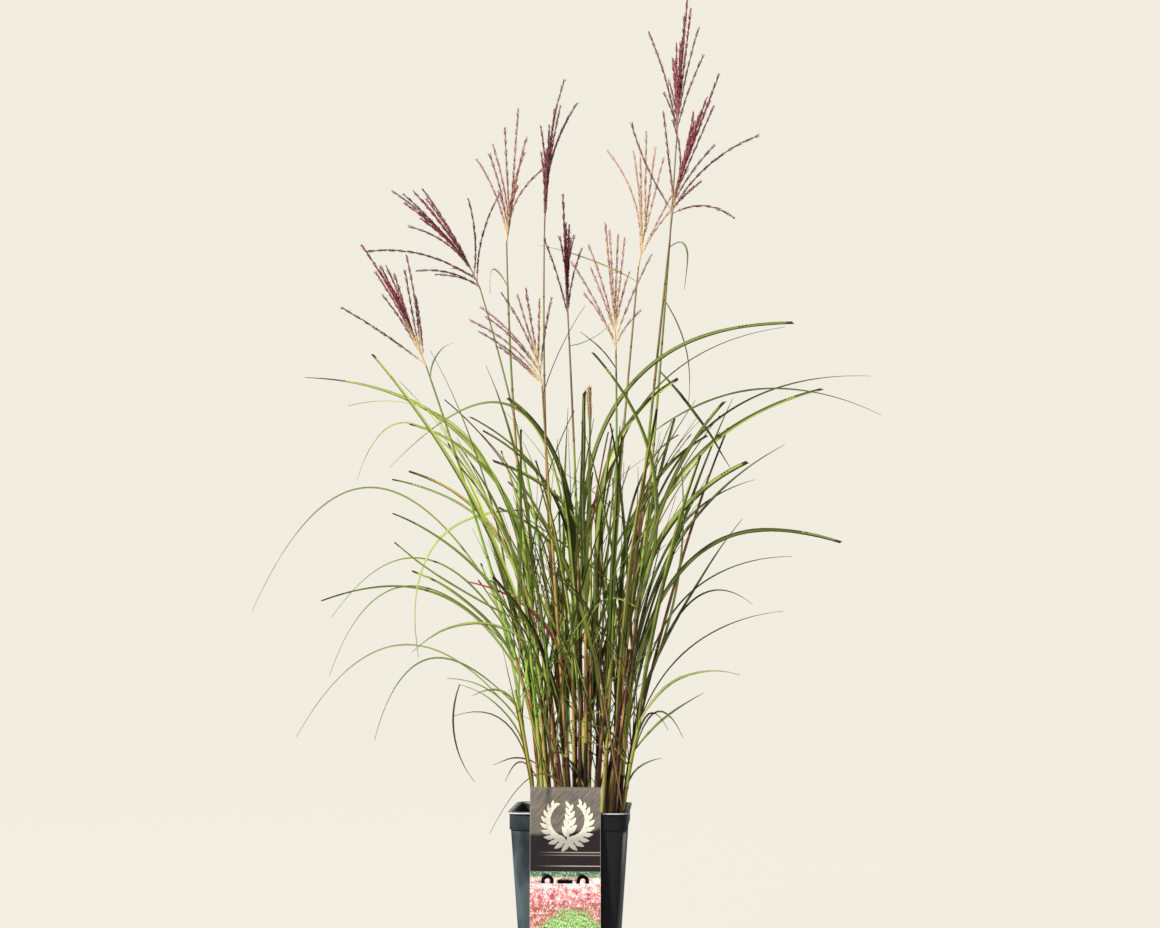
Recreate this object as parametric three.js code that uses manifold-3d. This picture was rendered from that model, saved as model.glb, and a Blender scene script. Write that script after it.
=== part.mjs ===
// A red maiden grass in a square nursery pot, in millimetres, +Z up.
// The origin is the middle of the pot's foot. The clump is laid out as it looks from an eye point in front
// of it: a place in the clump is how far right and how high it looks on the upright plane through the
// pot's middle, and its own depth behind that plane.
import * as THREE from "three";
import { mergeVertices } from "three/addons/utils/BufferGeometryUtils.js";
import Module from "manifold-3d";

const wasm = await Module();
wasm.setup();

// Driving dimensions of the pot: half widths of its square outline, and heights.
const POT_HEIGHT = 200;
const FOOT_HALF = 62;
const BODY_TOP_HALF = 74;
const BAND_HALF = 75.6;
const LIP_HALF = 78;
const BAND_FOOT_Z = 177;
const LIP_THICKNESS = 2.4;
const WALL = 1.8;
const FLOOR = 3.6;
const CORNER_RADIUS = 13;
const CORNER_STEPS = 4;
const CHANNEL = { depth: 1.8, width: 11, start: 18, drainRadius: 4, drainAt: 36 };
const GAP = 0.3;

// The soil stands a little below the rim, highest in the middle.
const SOIL_Z = 188;
const SOIL_EDGE_Z = 184.5;
const SOIL_CROWN_Z = 189;
const ROOT_DEPTH = 24;

// The label card hangs in front of the pot from a fold over the rim.
const LABEL = {
  width: 90, middleX: -3, topZ: 232, bottomZ: 36, sheet: 0.8, tongueWidth: 30, tongueFootZ: 172, shoulder: 22,
};
const LABEL_SLOTS = { z: 114.6, outer: 8, stroke: 4.6, leg: 3, archAt: 22.4, barLength: 19 };
const LABEL_BACK_Y = -(LIP_HALF + 0.4);
const TONGUE_FRONT_Y = -(BODY_TOP_HALF - WALL - 0.5);

// The clump.
const EYE = new THREE.Vector3(138, -2300, 416);
const CLUMP_MIDDLE = { x: 12 };
const CULM_SIDES = 5;
const CULM_FOOT_RADIUS = 3.0;
const CULM_TOP_RADIUS = 1.15;
const SHOOT_TOP_RADIUS = 1.9;
const BLADE_KEEL = 1.1;
const SPACE = 0.7;
const BLADE_SPACE = 2;
const STEPS = 12;
const MIDDLE_FROM = 0.3;
const MIDDLE_TO = 0.72;
const TRIES = 60;
const SEED = 20240917;
const GRID = 0.002;
const NUDGE = 0.13;
const NUDGES = 8;

// flowering culms: base x, y; middle and top as [x, z] seen; top depth; flower head axis end, and its
// branches as [x, z, bow], listed from the lowest up; thin leaves as [share up the culm, middle, tip, width].
const CULMS = [
  {
    name: "far_left", base: [-20, -14], middle: [-100, 485], top: [-198, 789], depth: -30, axis: [-216, 828],
    branches: [[-312, 869, 0.02], [-257, 885, 0.03], [-213, 883, 0.02], [-287, 955, 0.03], [-226, 940, 0.02],
      [-228, 918, 0], [-268, 918, 0.02], [-242, 914, 0], [-261, 925, 0.02], [-253, 925, 0.02]],
    leaves: [[0.97, [-182, 806], [-161, 821], 1.8, "p"]],
  },
  {
    name: "left", base: [-8, 22], middle: [-59, 633], top: [-125, 895], depth: 40, axis: [-142, 932],
    branches: [[-209, 921, 0.1], [-183, 915, 0.06], [-98, 1028, 0.07], [-277, 949, 0.1], [-160, 924, 0.04],
      [-141, 1017, 0.05], [-221, 982, 0.1], [-245, 1031, 0.05], [-229, 1026, 0.03], [-216, 1030, 0.02],
      [-203, 1032, 0.02]],
    leaves: [],
  },
  {
    name: "centre_left", base: [-14, 4], middle: [-69, 606], top: [-89, 961], depth: -30, axis: [-84, 987],
    branches: [[-41, 1059, 0.12], [-129, 1073, 0.05], [-75, 1035, 0.04], [-112, 1080, 0.03],
      [-100, 1028, 0.03], [-66, 1081, 0.05], [-108, 1093, 0.03], [-63, 1102, 0.02], [-92, 1116, 0],
      [-74, 1143, 0]],
    leaves: [[0.92, [-106, 922], [-111, 888], 2, "p"]],
  },
  {
    name: "centre_back", base: [-3, 36], middle: [-32, 606], top: [-37, 987], depth: 70, axis: [-35, 1023],
    branches: [[-42, 1118, 0.03], [6, 1150, 0.08], [-34, 1087, 0], [-31, 1118, 0], [-5, 1132, 0.06],
      [-28, 1101, 0], [-16, 1146, 0.02], [-24, 1142, 0], [-11, 1183, 0.04]],
    leaves: [],
  },
  {
    name: "centre", base: [16, -8], middle: [6, 606], top: [-5, 855], depth: -12, axis: [-6, 881],
    branches: [[-36, 959, 0.02], [13, 946, 0.04], [3, 965, 0.04], [-16, 963, 0.03], [-9, 954, 0],
      [-1, 961, 0.02], [-8, 972, 0], [-4, 967, 0], [-12, 1021, 0]],
    leaves: [[0.94, [22, 822], [54, 846], 2.2, "p"]],
  },
  {
    name: "centre_right", base: [41, -30], middle: [58, 525], top: [60, 809], depth: -70, axis: [58, 853],
    branches: [[1, 928, 0.03], [91, 860, 0.06], [18, 885, 0.03], [107, 936, 0.02], [27, 919, 0.02],
      [24, 951, 0.02], [77, 912, 0.02], [72, 960, 0], [46, 980, 0], [63, 964, 0], [52, 971, 0]],
    leaves: [[0.96, [38, 812], [12, 834], 2.4, "p"]],
  },
  {
    name: "right_back", base: [33, 20], middle: [68, 673], top: [91, 924], depth: 40, axis: [100, 976],
    branches: [[50, 1083, 0.1], [156, 1053, 0.02], [174, 1038, 0.05], [85, 1080, 0.02], [94, 1071, 0],
      [125, 1071, 0], [114, 1085, 0], [102, 1107, 0]],
    leaves: [[0.97, [24, 934], [-45, 954], 2, "p"]],
  },
  {
    name: "right_low", base: [49, -12], middle: [99, 645], top: [137, 994], depth: -45, axis: [141, 1029],
    branches: [[219, 990, 0.16], [83, 1120, -0.04], [253, 1102, 0.09], [174, 1038, 0.03], [139, 1124, -0.08],
      [193, 1088, 0.04], [126, 1135, 0], [162, 1109, 0], [193, 1142, 0], [173, 1129, 0], [184, 1154, 0],
      [201, 1187, 0]],
    leaves: [[0.86, [153, 815], [158, 736], 2.4, "p"], [0.98, [149, 956], [153, 890], 2.2, "p"],
      [0.7, [231, 751], [414, 717], 2.8, "p"]],
  },
  {
    name: "right_high", base: [58, 10], middle: [112, 699], top: [144, 1107], depth: 30, axis: [146, 1143],
    branches: [[107, 1249, 0.03], [180, 1214, 0.03], [128, 1162, 0.02], [134, 1180, 0.03], [174, 1253, 0.02],
      [139, 1210, 0], [144, 1231, 0], [164, 1280, 0], [152, 1239, 0], [155, 1269, 0], [159, 1293, 0]],
    leaves: [[0.64, [163, 726], [214, 645], 3.4, "p"]],
  },
  {
    name: "left_low", base: [2, -36], middle: [-26, 552], top: [-40, 760], depth: -85, axis: [-47, 799],
    branches: [[-96, 813, 0.03], [-123, 834, 0.05], [-136, 850, 0.07], [-28, 878, 0.02], [-114, 854, 0.06],
      [-122, 868, 0.05], [-94, 886, 0.04], [-44, 876, 0], [-73, 883, 0], [-62, 891, 0]],
    leaves: [[0.98, [-10, 822], [18, 870], 2, "p"], [0.07, [-36, 243], [-108, 165], 3, "p", -128]],
  },
];

// A shoot whose head is still in its sheath: it ends in a short brown spindle.
const BUD = {
  name: "culm_bud", base: [22, 14], middle: [26, 520], top: [24, 712], depth: 20, length: 46, radius: 3.4,
};

// leafy shoots seen in the outline: base x, y; top [x, z] seen; top depth; leaves as [share up the
// shoot, middle, tip, width, tip kind], where p is pointed and c is cut.
const SHOOTS = [
  {
    name: "a", base: [-46, -8], top: [-75, 353], depth: -14,
    leaves: [[0.35, [-112, 322], [-158, 318], 3, "p"], [0.35, [-95, 330], [-149, 360], 2.2, "p"],
      [0.7, [-99, 353], [-132, 344], 3.2, "p"], [0.8, [-123, 359], [-166, 368], 3, "p"],
      [1, [-196, 392], [-262, 286], 2.6, "p"], [0.9, [-232, 412], [-367, 290], 2.4, "p"]],
  },
  {
    name: "b", base: [-40, 12], top: [-63, 405], depth: 18,
    leaves: [[0.7, [-190, 483], [-336, 471], 5, "c"], [0.8, [-129, 460], [-214, 511], 4.2, "c"],
      [1, [-231, 526], [-323, 449], 2.6, "p"], [1, [-244, 485], [-324, 371], 2.2, "p"]],
  },
  {
    name: "c", base: [-34, -24], top: [-59, 445], depth: -40,
    leaves: [[0.8, [-147, 532], [-242, 588], 4.2, "c"], [0.9, [-122, 579], [-243, 634], 3.8, "c"],
      [1, [-178, 681], [-273, 806], 7, "c"], [1, [-120, 441], [-214, 403], 3.6, "p"]],
  },
  {
    name: "d", base: [-28, 28], top: [-55, 445], depth: 44,
    leaves: [[0.9, [-180, 719], [-364, 774], 7, "p"], [1, [-122, 587], [-220, 646], 4.4, "c"],
      [0.8, [-305, 618], [-431, 456], 2.8, "p"]],
  },
  {
    name: "e", base: [-30, 0], top: [-55, 472], depth: 4,
    leaves: [[1, [-165, 688], [-234, 769], 4.2, "p"], [0.9, [-199, 732], [-304, 735], 2.4, "p"],
      [1, [-80, 687], [-117, 789], 4.6, "p"]],
  },
  {
    name: "f", base: [5, -16], top: [1, 472], depth: -26,
    leaves: [[0.9, [-47, 646], [-138, 719], 6, "c"], [1, [-36, 690], [-87, 744], 7, "c"],
      [0.8, [-13, 603], [-106, 659], 5, "c"], [0.7, [-29, 548], [-98, 595], 5, "c"],
      [1, [-115, 738], [-247, 651], 3.4, "p"], [0.4, [-62, 463], [-137, 496], 5, "c"],
      [0.9, [-238, 710], [-291, 634], 2.8, "p"]],
  },
  {
    name: "g", base: [35, -8], top: [35, 419], depth: -10,
    leaves: [[1, [41, 605], [57, 702], 8, "p"]],
  },
  {
    name: "h", base: [20, -26], top: [19, 472], depth: -36,
    leaves: [[0.9, [133, 805], [299, 844], 6, "c"], [1, [15, 632], [18, 752], 6, "c"]],
  },
  {
    name: "i", base: [45, 4], top: [51, 472], depth: 6,
    leaves: [[0.8, [151, 788], [288, 838], 3, "p"], [1, [77, 708], [144, 768], 7.4, "c"]],
  },
  {
    name: "j", base: [50, 26], top: [75, 445], depth: 46,
    leaves: [[1, [231, 736], [400, 770], 3.6, "p"], [0.9, [193, 685], [337, 753], 7.2, "c"],
      [1, [116, 635], [183, 691], 6.8, "c"], [0.8, [101, 648], [144, 693], 4.2, "c"]],
  },
  {
    name: "k", base: [63, -8], top: [86, 406], depth: -14,
    leaves: [[0.9, [193, 611], [286, 678], 4, "p"], [1, [152, 596], [236, 655], 8, "c"],
      [0.8, [173, 596], [246, 632], 3.4, "p"], [0.9, [218, 558], [358, 547], 5.6, "c"],
      [0.7, [148, 549], [145, 674], 3.8, "p"]],
  },
  {
    name: "l", base: [66, 24], top: [94, 353], depth: 34,
    leaves: [[1, [171, 498], [228, 580], 4.6, "p"], [0.9, [185, 501], [293, 529], 3.4, "p"],
      [0.8, [191, 485], [240, 465], 2.4, "p"], [0.7, [177, 423], [281, 456], 2.2, "p"]],
  },
  {
    name: "m", base: [67, -26], top: [91, 314], depth: -46,
    leaves: [[1, [150, 371], [223, 373], 4, "p"], [0.7, [128, 320], [176, 349], 3.2, "p"],
      [0.6, [123, 324], [147, 290], 2.6, "p"], [0.35, [92, 254], [119, 263], 3, "p"]],
  },
  {
    name: "n", base: [55, -38], top: [91, 472], depth: -62,
    leaves: [[1, [103, 672], [28, 806], 8, "c"], [0.8, [105, 578], [119, 686], 5, "p"]],
  },
];

// Shoots and leaves inside the clump, which the outline doesn't show, are set by rule.
const INNER = { count: 12, candidates: 90, rx: 60, ry: 50, apart: 9.5, lean: 0.0062, low: 110, high: 250 };
const INNER_LEAVES = 5;
const SHOOT_EXTRA_LEAVES = 2;
const CULM_EXTRA_LEAVES = 2;
const CUT_SHARE = 0.45;

// A seeded stream of numbers from 0 to 1.
function numberStream(seed) {
  let state = seed >>> 0;
  return () => {
    state = (state + 0x6d2b79f5) >>> 0;
    let mixed = Math.imul(state ^ (state >>> 15), 1 | state);
    mixed = (mixed + Math.imul(mixed ^ (mixed >>> 7), 61 | mixed)) ^ mixed;
    return ((mixed ^ (mixed >>> 14)) >>> 0) / 4294967296;
  };
}

const draw = numberStream(SEED);
const between = (low, high) => low + (high - low) * draw();

// The point that looks to be at x, z on the middle plane, and lies at that depth.
function seen([x, z], depth) {
  const scale = 1 + depth / -EYE.y;
  return new THREE.Vector3(EYE.x + (x - EYE.x) * scale, depth, EYE.z + (z - EYE.z) * scale);
}

// The quadratic arc from foot to tip that passes through middle at its share of the way.
function arcThrough(foot, middle, tip) {
  const before = middle.distanceTo(foot);
  const share = Math.min(MIDDLE_TO, Math.max(MIDDLE_FROM, before / (before + tip.distanceTo(middle))));
  const control = middle.clone();
  control.addScaledVector(foot, -((1 - share) ** 2)).addScaledVector(tip, -(share ** 2));
  return new THREE.QuadraticBezierCurve3(foot, control.divideScalar(2 * share * (1 - share)), tip);
}

// Shortest distance between the segments p0-p1 and q0-q1.
function segmentDistance(p0, p1, q0, q1) {
  const ux = p1.x - p0.x, uy = p1.y - p0.y, uz = p1.z - p0.z;
  const vx = q1.x - q0.x, vy = q1.y - q0.y, vz = q1.z - q0.z;
  const wx = p0.x - q0.x, wy = p0.y - q0.y, wz = p0.z - q0.z;
  const a = ux * ux + uy * uy + uz * uz;
  const b = ux * vx + uy * vy + uz * vz;
  const c = vx * vx + vy * vy + vz * vz;
  const d = ux * wx + uy * wy + uz * wz;
  const e = vx * wx + vy * wy + vz * wz;
  const clamp = (value) => Math.min(1, Math.max(0, value));
  const across = a * c - b * b;
  let s = across > 1e-9 ? clamp((b * e - c * d) / across) : 0;
  const t = clamp((b * s + e) / c);
  s = clamp((b * t - d) / a);
  return Math.hypot(wx + s * ux - t * vx, wy + s * uy - t * vy, wz + s * uz - t * vz);
}

// What stands already: capsules with the owner that may touch them. The pot's rim and the label come first.
const crowd = [];

function settle(curve, radiusAt, owner, upTo = 1) {
  let last = curve.getPoint(0);
  for (let i = 1; i <= STEPS; i++) {
    const next = curve.getPoint((upTo * i) / STEPS);
    const radius = Math.max(radiusAt((upTo * (i - 1)) / STEPS), radiusAt((upTo * i) / STEPS));
    crowd.push({ from: last, to: next, radius, owner });
    last = next;
  }
}

// How far along the curve stays clear of all that stands, as a share of its length.
function clearShare(curve, radiusAt, owner, space = SPACE) {
  let last = curve.getPoint(0);
  for (let i = 1; i <= STEPS; i++) {
    const next = curve.getPoint(i / STEPS);
    const radius = Math.max(radiusAt((i - 1) / STEPS), radiusAt(i / STEPS)) + space;
    for (const other of crowd) {
      if (other.owner === owner) continue;
      if (segmentDistance(last, next, other.from, other.to) < radius + other.radius) return (i - 1) / STEPS;
    }
    last = next;
  }
  return 1;
}

function settleRimAndLabel() {
  const corner = (x, y) => new THREE.Vector3(x, y, POT_HEIGHT);
  const corners = [[-1, -1], [1, -1], [1, 1], [-1, 1]].map(([x, y]) => corner(x * LIP_HALF, y * LIP_HALF));
  corners.forEach((from, i) => crowd.push({ from, to: corners[(i + 1) % 4], radius: 5, owner: "pot" }));
  for (const y of [LABEL_BACK_Y - 1, TONGUE_FRONT_Y]) {
    const from = new THREE.Vector3(LABEL.middleX - LABEL.width / 2, y, LABEL.topZ - 1);
    const to = new THREE.Vector3(LABEL.middleX + LABEL.width / 2, y, LABEL.topZ - 1);
    crowd.push({ from, to, radius: 3, owner: "label" });
  }
}

// Depths tried in turn on both sides of the wanted one.
const DEPTH_STEP = 9;
const DEPTH_TRIES = 37;
const depthOffset = (i) => (i % 2 ? 1 : -1) * Math.ceil(i / 2) * DEPTH_STEP;

// Half width of a blade along its length: narrow at the foot, widest a third of the way up.
function bladeHalfWidth(leaf, u) {
  const foot = 0.55 + 0.45 * Math.min(1, u / 0.25);
  const end = leaf.kind === "c" ? 0.6 : 0.1;
  const taper = u > 0.45 ? 1 - (1 - end) * Math.pow((u - 0.45) / 0.55, 1.6) : 1;
  return 0.5 * leaf.width * foot * taper;
}

const culmRadius = (foot, top) => (u) => foot + (top - foot) * u;

// places: stems first, then the leaves seen in the outline, then those set by rule.
const stems = [];

const isTall = (stem) => Boolean(stem.head) || stem.name === BUD.name;

function addStem(stem) {
  stem.leaves = [];
  stems.push(stem);
  return stem;
}

// The flower head on a culm: a short axis going on from the culm, and branches that fan from it.
function headOf(culm, curve, depth) {
  const foot = curve.getPoint(1);
  const end = seen(culm.axis, depth + (depth - culm.base[1]) * 0.05);
  const axis = new THREE.LineCurve3(foot, end);
  const branches = culm.branches.map(([x, z, bow], i) => {
    const from = axis.getPoint(0.05 + (0.9 * i) / (culm.branches.length - 1));
    const flat = Math.hypot(x - culm.axis[0], z - culm.axis[1]);
    const tip = seen([x, z], depth + 0.26 * flat * Math.sin(2.4 * i + culm.base[0]));
    const along = tip.clone().sub(from);
    const side = new THREE.Vector3(-along.z, 0, along.x).multiplyScalar(Math.sign(along.x) * bow);
    const middle = from.clone().lerp(tip, 0.5).add(side);
    return arcThrough(from, middle, tip);
  });
  return { axis, branches };
}

const BRANCH_RADIUS = 1.5;

function placeCulms() {
  for (const culm of CULMS) {
    const foot = new THREE.Vector3(culm.base[0], culm.base[1], SOIL_Z);
    const radius = culmRadius(CULM_FOOT_RADIUS, CULM_TOP_RADIUS);
    for (let i = 0; i < DEPTH_TRIES; i++) {
      const depth = culm.depth + depthOffset(i);
      const middle = seen(culm.middle, culm.base[1] + (depth - culm.base[1]) * 0.4);
      const curve = arcThrough(foot, middle, seen(culm.top, depth));
      const head = headOf(culm, curve, depth);
      const clear = clearShare(curve, radius, culm.name) === 1
        && head.branches.every((branch) => clearShare(branch, () => BRANCH_RADIUS, culm.name) === 1);
      if (!clear && i < DEPTH_TRIES - 1) continue;
      settle(curve, radius, culm.name);
      head.branches.forEach((branch) => settle(branch, () => BRANCH_RADIUS, culm.name));
      addStem({ name: "culm_" + culm.name, owner: culm.name, curve, radius, head, listed: culm.leaves });
      break;
    }
  }
}

function placeStem(name, curveAt, radius, listed) {
  for (let i = 0; i < DEPTH_TRIES; i++) {
    const curve = curveAt(depthOffset(i));
    if (clearShare(curve, radius, name) < 1 && i < DEPTH_TRIES - 1) continue;
    settle(curve, radius, name);
    return addStem({ name, owner: name, curve, radius, listed });
  }
}

// A shoot stands up a little before it leans out.
function shootCurve(foot, top) {
  const control = foot.clone().lerp(top, 0.38);
  control.z = (foot.z + top.z) / 2;
  return new THREE.QuadraticBezierCurve3(foot, control, top);
}

function placeShoots() {
  const foot = new THREE.Vector3(BUD.base[0], BUD.base[1], SOIL_Z);
  const budCurve = (shift) => {
    const depth = BUD.depth + shift;
    return arcThrough(foot, seen(BUD.middle, (BUD.base[1] + depth) / 2), seen(BUD.top, depth));
  };
  placeStem(BUD.name, budCurve, culmRadius(CULM_FOOT_RADIUS, CULM_TOP_RADIUS), []);
  for (const shoot of SHOOTS) {
    const base = new THREE.Vector3(shoot.base[0], shoot.base[1], SOIL_Z);
    const curveAt = (shift) => shootCurve(base, seen(shoot.top, shoot.depth + shift));
    placeStem("shoot_" + shoot.name, curveAt, culmRadius(CULM_FOOT_RADIUS, SHOOT_TOP_RADIUS), shoot.leaves);
  }
}

// Inner shoots stand on a sunflower pattern, where no stem stands yet, and lean out from the middle.
function placeInnerShoots() {
  const radius = culmRadius(CULM_FOOT_RADIUS * 0.9, SHOOT_TOP_RADIUS);
  let made = 0;
  for (let i = 0; i < INNER.candidates && made < INNER.count; i++) {
    const out = Math.sqrt((i + 0.5) / INNER.candidates);
    const turn = 2.39996 * i;
    const across = INNER.rx * out * Math.cos(turn);
    const foot = new THREE.Vector3(CLUMP_MIDDLE.x + across, INNER.ry * out * Math.sin(turn), SOIL_Z);
    const jitter = [between(-0.05, 0.05), between(-0.05, 0.05)];
    const rise = between(INNER.low, INNER.high);
    if (stems.some((stem) => stem.curve.getPoint(0).distanceTo(foot) < INNER.apart)) continue;
    const lean = [(foot.x - CLUMP_MIDDLE.x) * INNER.lean + jitter[0], foot.y * INNER.lean + jitter[1]];
    const top = new THREE.Vector3(foot.x + lean[0] * rise, foot.y + lean[1] * rise, SOIL_Z + rise);
    const curve = shootCurve(foot, top);
    const name = "inner_" + String.fromCharCode(97 + made);
    if (clearShare(curve, radius, name) < 1) continue;
    settle(curve, radius, name);
    addStem({ name, owner: name, curve, radius, listed: [], inner: true });
    made++;
  }
}

function bladeClearShare(curve, leaf, owner) {
  return clearShare(curve, (u) => bladeHalfWidth(leaf, u), owner, BLADE_SPACE);
}

function keepLeaf(stem, leaf, curve, upTo) {
  settle(curve, (u) => bladeHalfWidth(leaf, Math.min(1, u / upTo)), stem.owner, upTo);
  stem.leaves.push({ ...leaf, curve, upTo });
}

// A listed leaf keeps its outline, and its tip goes to the first depth where the blade is clear. Where none
// is, the blade is cut off short of what it would touch.
function placeListedLeaves() {
  for (const stem of stems) {
    for (const [k, [share, middle, tip, width, kind, wanted]] of stem.listed.entries()) {
      const foot = stem.curve.getPoint(Math.min(share, 0.985) - 0.035 * k);
      const roll = between(0.75, 1.15) * (draw() < 0.5 ? -1 : 1);
      const leaf = { width, kind, roll, twist: between(-0.5, 0.5) };
      let best = { share: -1 };
      for (let i = 0; i < DEPTH_TRIES && best.share < 1; i++) {
        const depth = (wanted ?? foot.y * 1.4) + depthOffset(i);
        const curve = arcThrough(foot, seen(middle, (foot.y + depth) / 2), seen(tip, depth));
        const clear = bladeClearShare(curve, leaf, stem.owner);
        if (clear > best.share) best = { share: clear, curve };
      }
      if (best.share >= 0.5) keepLeaf(stem, leaf, best.curve, best.share);
    }
  }
}

// Whether a point lies in the outline of the clump's leafy part, as seen from the eye point.
function insideOutline(point) {
  const scale = 1 + point.y / -EYE.y;
  const x = EYE.x + (point.x - EYE.x) / scale;
  const z = EYE.z + (point.z - EYE.z) / scale;
  return z > 226 && z < 745 && Math.abs(x - CLUMP_MIDDLE.x) < 60 + 0.29 * (z - 225);
}

// The point a length away, leaning from upright by an angle and turned about the upright.
function reach(from, length, angle, turn) {
  const out = length * Math.sin(angle);
  const offset = new THREE.Vector3(out * Math.cos(turn), out * Math.sin(turn), length * Math.cos(angle));
  return from.clone().add(offset);
}

// Leaves set by rule stand in two ranks on their stem, leave it steeply and bend outwards.
function placeRuleLeaves() {
  for (const stem of stems) {
    const tall = isTall(stem);
    const count = stem.inner ? INNER_LEAVES : tall ? CULM_EXTRA_LEAVES : SHOOT_EXTRA_LEAVES;
    const rank = Math.PI / 2 + between(-0.9, 0.9);
    for (let k = 0; k < count; k++) {
      const share = tall ? 0.12 + 0.2 * k + between(0, 0.1) : 0.35 + (0.64 * (k + 0.5)) / count;
      const foot = stem.curve.getPoint(share);
      const width = between(3.4, 7);
      const kind = draw() < CUT_SHARE ? "c" : "p";
      const leaf = { width, kind, roll: between(-0.9, 0.9), twist: between(-0.6, 0.6) };
      for (let i = 0; i < TRIES; i++) {
        const turn = rank + Math.PI * k + between(-0.8, 0.8);
        const start = between(0.1, 0.34);
        const bend = start + between(0.12, 0.95);
        const half = between(250, 540) / 2;
        const control = reach(foot, half, start, turn);
        const curve = new THREE.QuadraticBezierCurve3(foot, control, reach(control, half, bend, turn));
        if (!insideOutline(curve.getPoint(1)) || !insideOutline(curve.getPoint(0.5))) continue;
        if (bladeClearShare(curve, leaf, stem.owner) < 1) continue;
        keepLeaf(stem, leaf, curve, 1);
        break;
      }
    }
  }
}

// solids
function manifoldOf(geometry) {
  const bare = geometry.clone();
  bare.deleteAttribute("normal");
  bare.deleteAttribute("uv");
  const merged = mergeVertices(bare, 1e-4);
  return new wasm.Manifold(new wasm.Mesh({
    numProp: 3,
    vertProperties: new Float32Array(merged.attributes.position.array),
    triVerts: new Uint32Array(merged.index.array),
  }));
}

const edgeKey = (a, b) => Math.min(a, b) + "," + Math.max(a, b);

// The faces of the skin with the most faces, followed from edge to edge. Blades that cross can close off a
// small pocket between them, and its skin is left out, so that the pocket is solid.
function withoutPockets(faces) {
  const parent = faces.map((_, i) => i);
  const rootOf = (i) => {
    while (parent[i] !== i) i = parent[i] = parent[parent[i]];
    return i;
  };
  const edges = new Map();
  faces.forEach((face, i) => {
    for (let k = 0; k < 3; k++) {
      const key = edgeKey(face[k], face[(k + 1) % 3]);
      if (edges.has(key)) parent[rootOf(i)] = rootOf(edges.get(key));
      else edges.set(key, i);
    }
  });
  const size = new Map();
  faces.forEach((_, i) => size.set(rootOf(i), (size.get(rootOf(i)) ?? 0) + 1));
  const outer = [...size].reduce((most, entry) => (entry[1] > most[1] ? entry : most))[0];
  return faces.filter((_, i) => rootOf(i) === outer);
}

// The corners are set on a fine grid. A sliver that closes up there goes, and so do two faces left back
// to back.
function geometryOf(solid) {
  const mesh = solid.getMesh();
  const cells = new Map();
  const corners = [];
  const cellOf = (i) => {
    const place = [0, 1, 2].map((k) => Math.round(mesh.vertProperties[i * mesh.numProp + k] / GRID));
    const key = place.join();
    if (!cells.has(key)) {
      cells.set(key, cells.size);
      corners.push(...place.map((value) => value * GRID));
    }
    return cells.get(key);
  };
  const kept = new Map();
  for (let i = 0; i < mesh.triVerts.length; i += 3) {
    const face = [0, 1, 2].map((k) => cellOf(mesh.triVerts[i + k]));
    if (new Set(face).size < 3) continue;
    const key = [...face].sort((a, b) => a - b).join();
    if (kept.has(key)) kept.delete(key);
    else kept.set(key, face);
  }
  const geometry = new THREE.BufferGeometry();
  geometry.setAttribute("position", new THREE.Float32BufferAttribute(corners, 3));
  geometry.setIndex(withoutPockets([...kept.values()]).flat());
  return geometry;
}

// Whether each edge has just two faces on it.
function isClosed(geometry) {
  const counts = new Map();
  const index = geometry.index.array;
  for (let i = 0; i < index.length; i += 3) {
    for (let k = 0; k < 3; k++) {
      const key = edgeKey(index[i + k], index[i + ((k + 1) % 3)]);
      counts.set(key, (counts.get(key) ?? 0) + 1);
    }
  }
  return [...counts.values()].every((count) => count === 2);
}

// Where joined blades only graze each other along an edge, they are all turned a little and joined again.
function closedGeometry(make) {
  for (let i = 0; i < NUDGES; i++) {
    const geometry = geometryOf(make(i * NUDGE));
    if (isClosed(geometry)) return geometry;
  }
  throw new Error("no closed surface");
}

// A closed skin through rings that all have the same number of points, listed anticlockwise seen from the
// end they run towards.
function skin(rings) {
  const count = rings[0].length;
  const places = rings.flat().flatMap((p) => [p.x, p.y, p.z]);
  const faces = [];
  for (let i = 0; i + 1 < rings.length; i++) {
    for (let j = 0; j < count; j++) {
      const a = i * count + j, b = i * count + ((j + 1) % count);
      faces.push(a, b, b + count, a, b + count, a + count);
    }
  }
  const last = (rings.length - 1) * count;
  for (let j = 1; j + 1 < count; j++) faces.push(0, j + 1, j, last, last + j, last + j + 1);
  const geometry = new THREE.BufferGeometry();
  geometry.setAttribute("position", new THREE.Float32BufferAttribute(places, 3));
  geometry.setIndex(faces);
  return geometry;
}

// A ring of sides points round centre, square to the direction.
function ringRound(centre, direction, radius, sides, turn = 0) {
  const across = new THREE.Vector3(0, 1, 0).cross(direction).normalize();
  const other = direction.clone().cross(across).normalize();
  return Array.from({ length: sides }, (_, i) => {
    const angle = turn + (2 * Math.PI * i) / sides;
    const point = centre.clone().addScaledVector(across, radius * Math.cos(angle));
    return point.addScaledVector(other, radius * Math.sin(angle));
  });
}

function stemSolid(stem, steps) {
  const foot = stem.curve.getPoint(0);
  const way = stem.curve.getTangent(0);
  const rings = [ringRound(foot.clone().addScaledVector(way, -ROOT_DEPTH), way, stem.radius(0), CULM_SIDES)];
  for (let i = 0; i <= steps; i++) {
    const u = i / steps;
    rings.push(ringRound(stem.curve.getPoint(u), stem.curve.getTangent(u), stem.radius(u), CULM_SIDES));
  }
  return manifoldOf(skin(rings));
}

// The plain hole in the soil that a stem's foot stands in.
function stemHole(stem) {
  const foot = stem.curve.getPoint(0);
  const way = stem.curve.getTangent(0);
  const radius = stem.radius(0) + GAP / Math.cos(Math.PI / CULM_SIDES);
  const end = (along) => ringRound(foot.clone().addScaledVector(way, along), way, radius, CULM_SIDES);
  return manifoldOf(skin([end(-ROOT_DEPTH - GAP), end(14)]));
}

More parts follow.
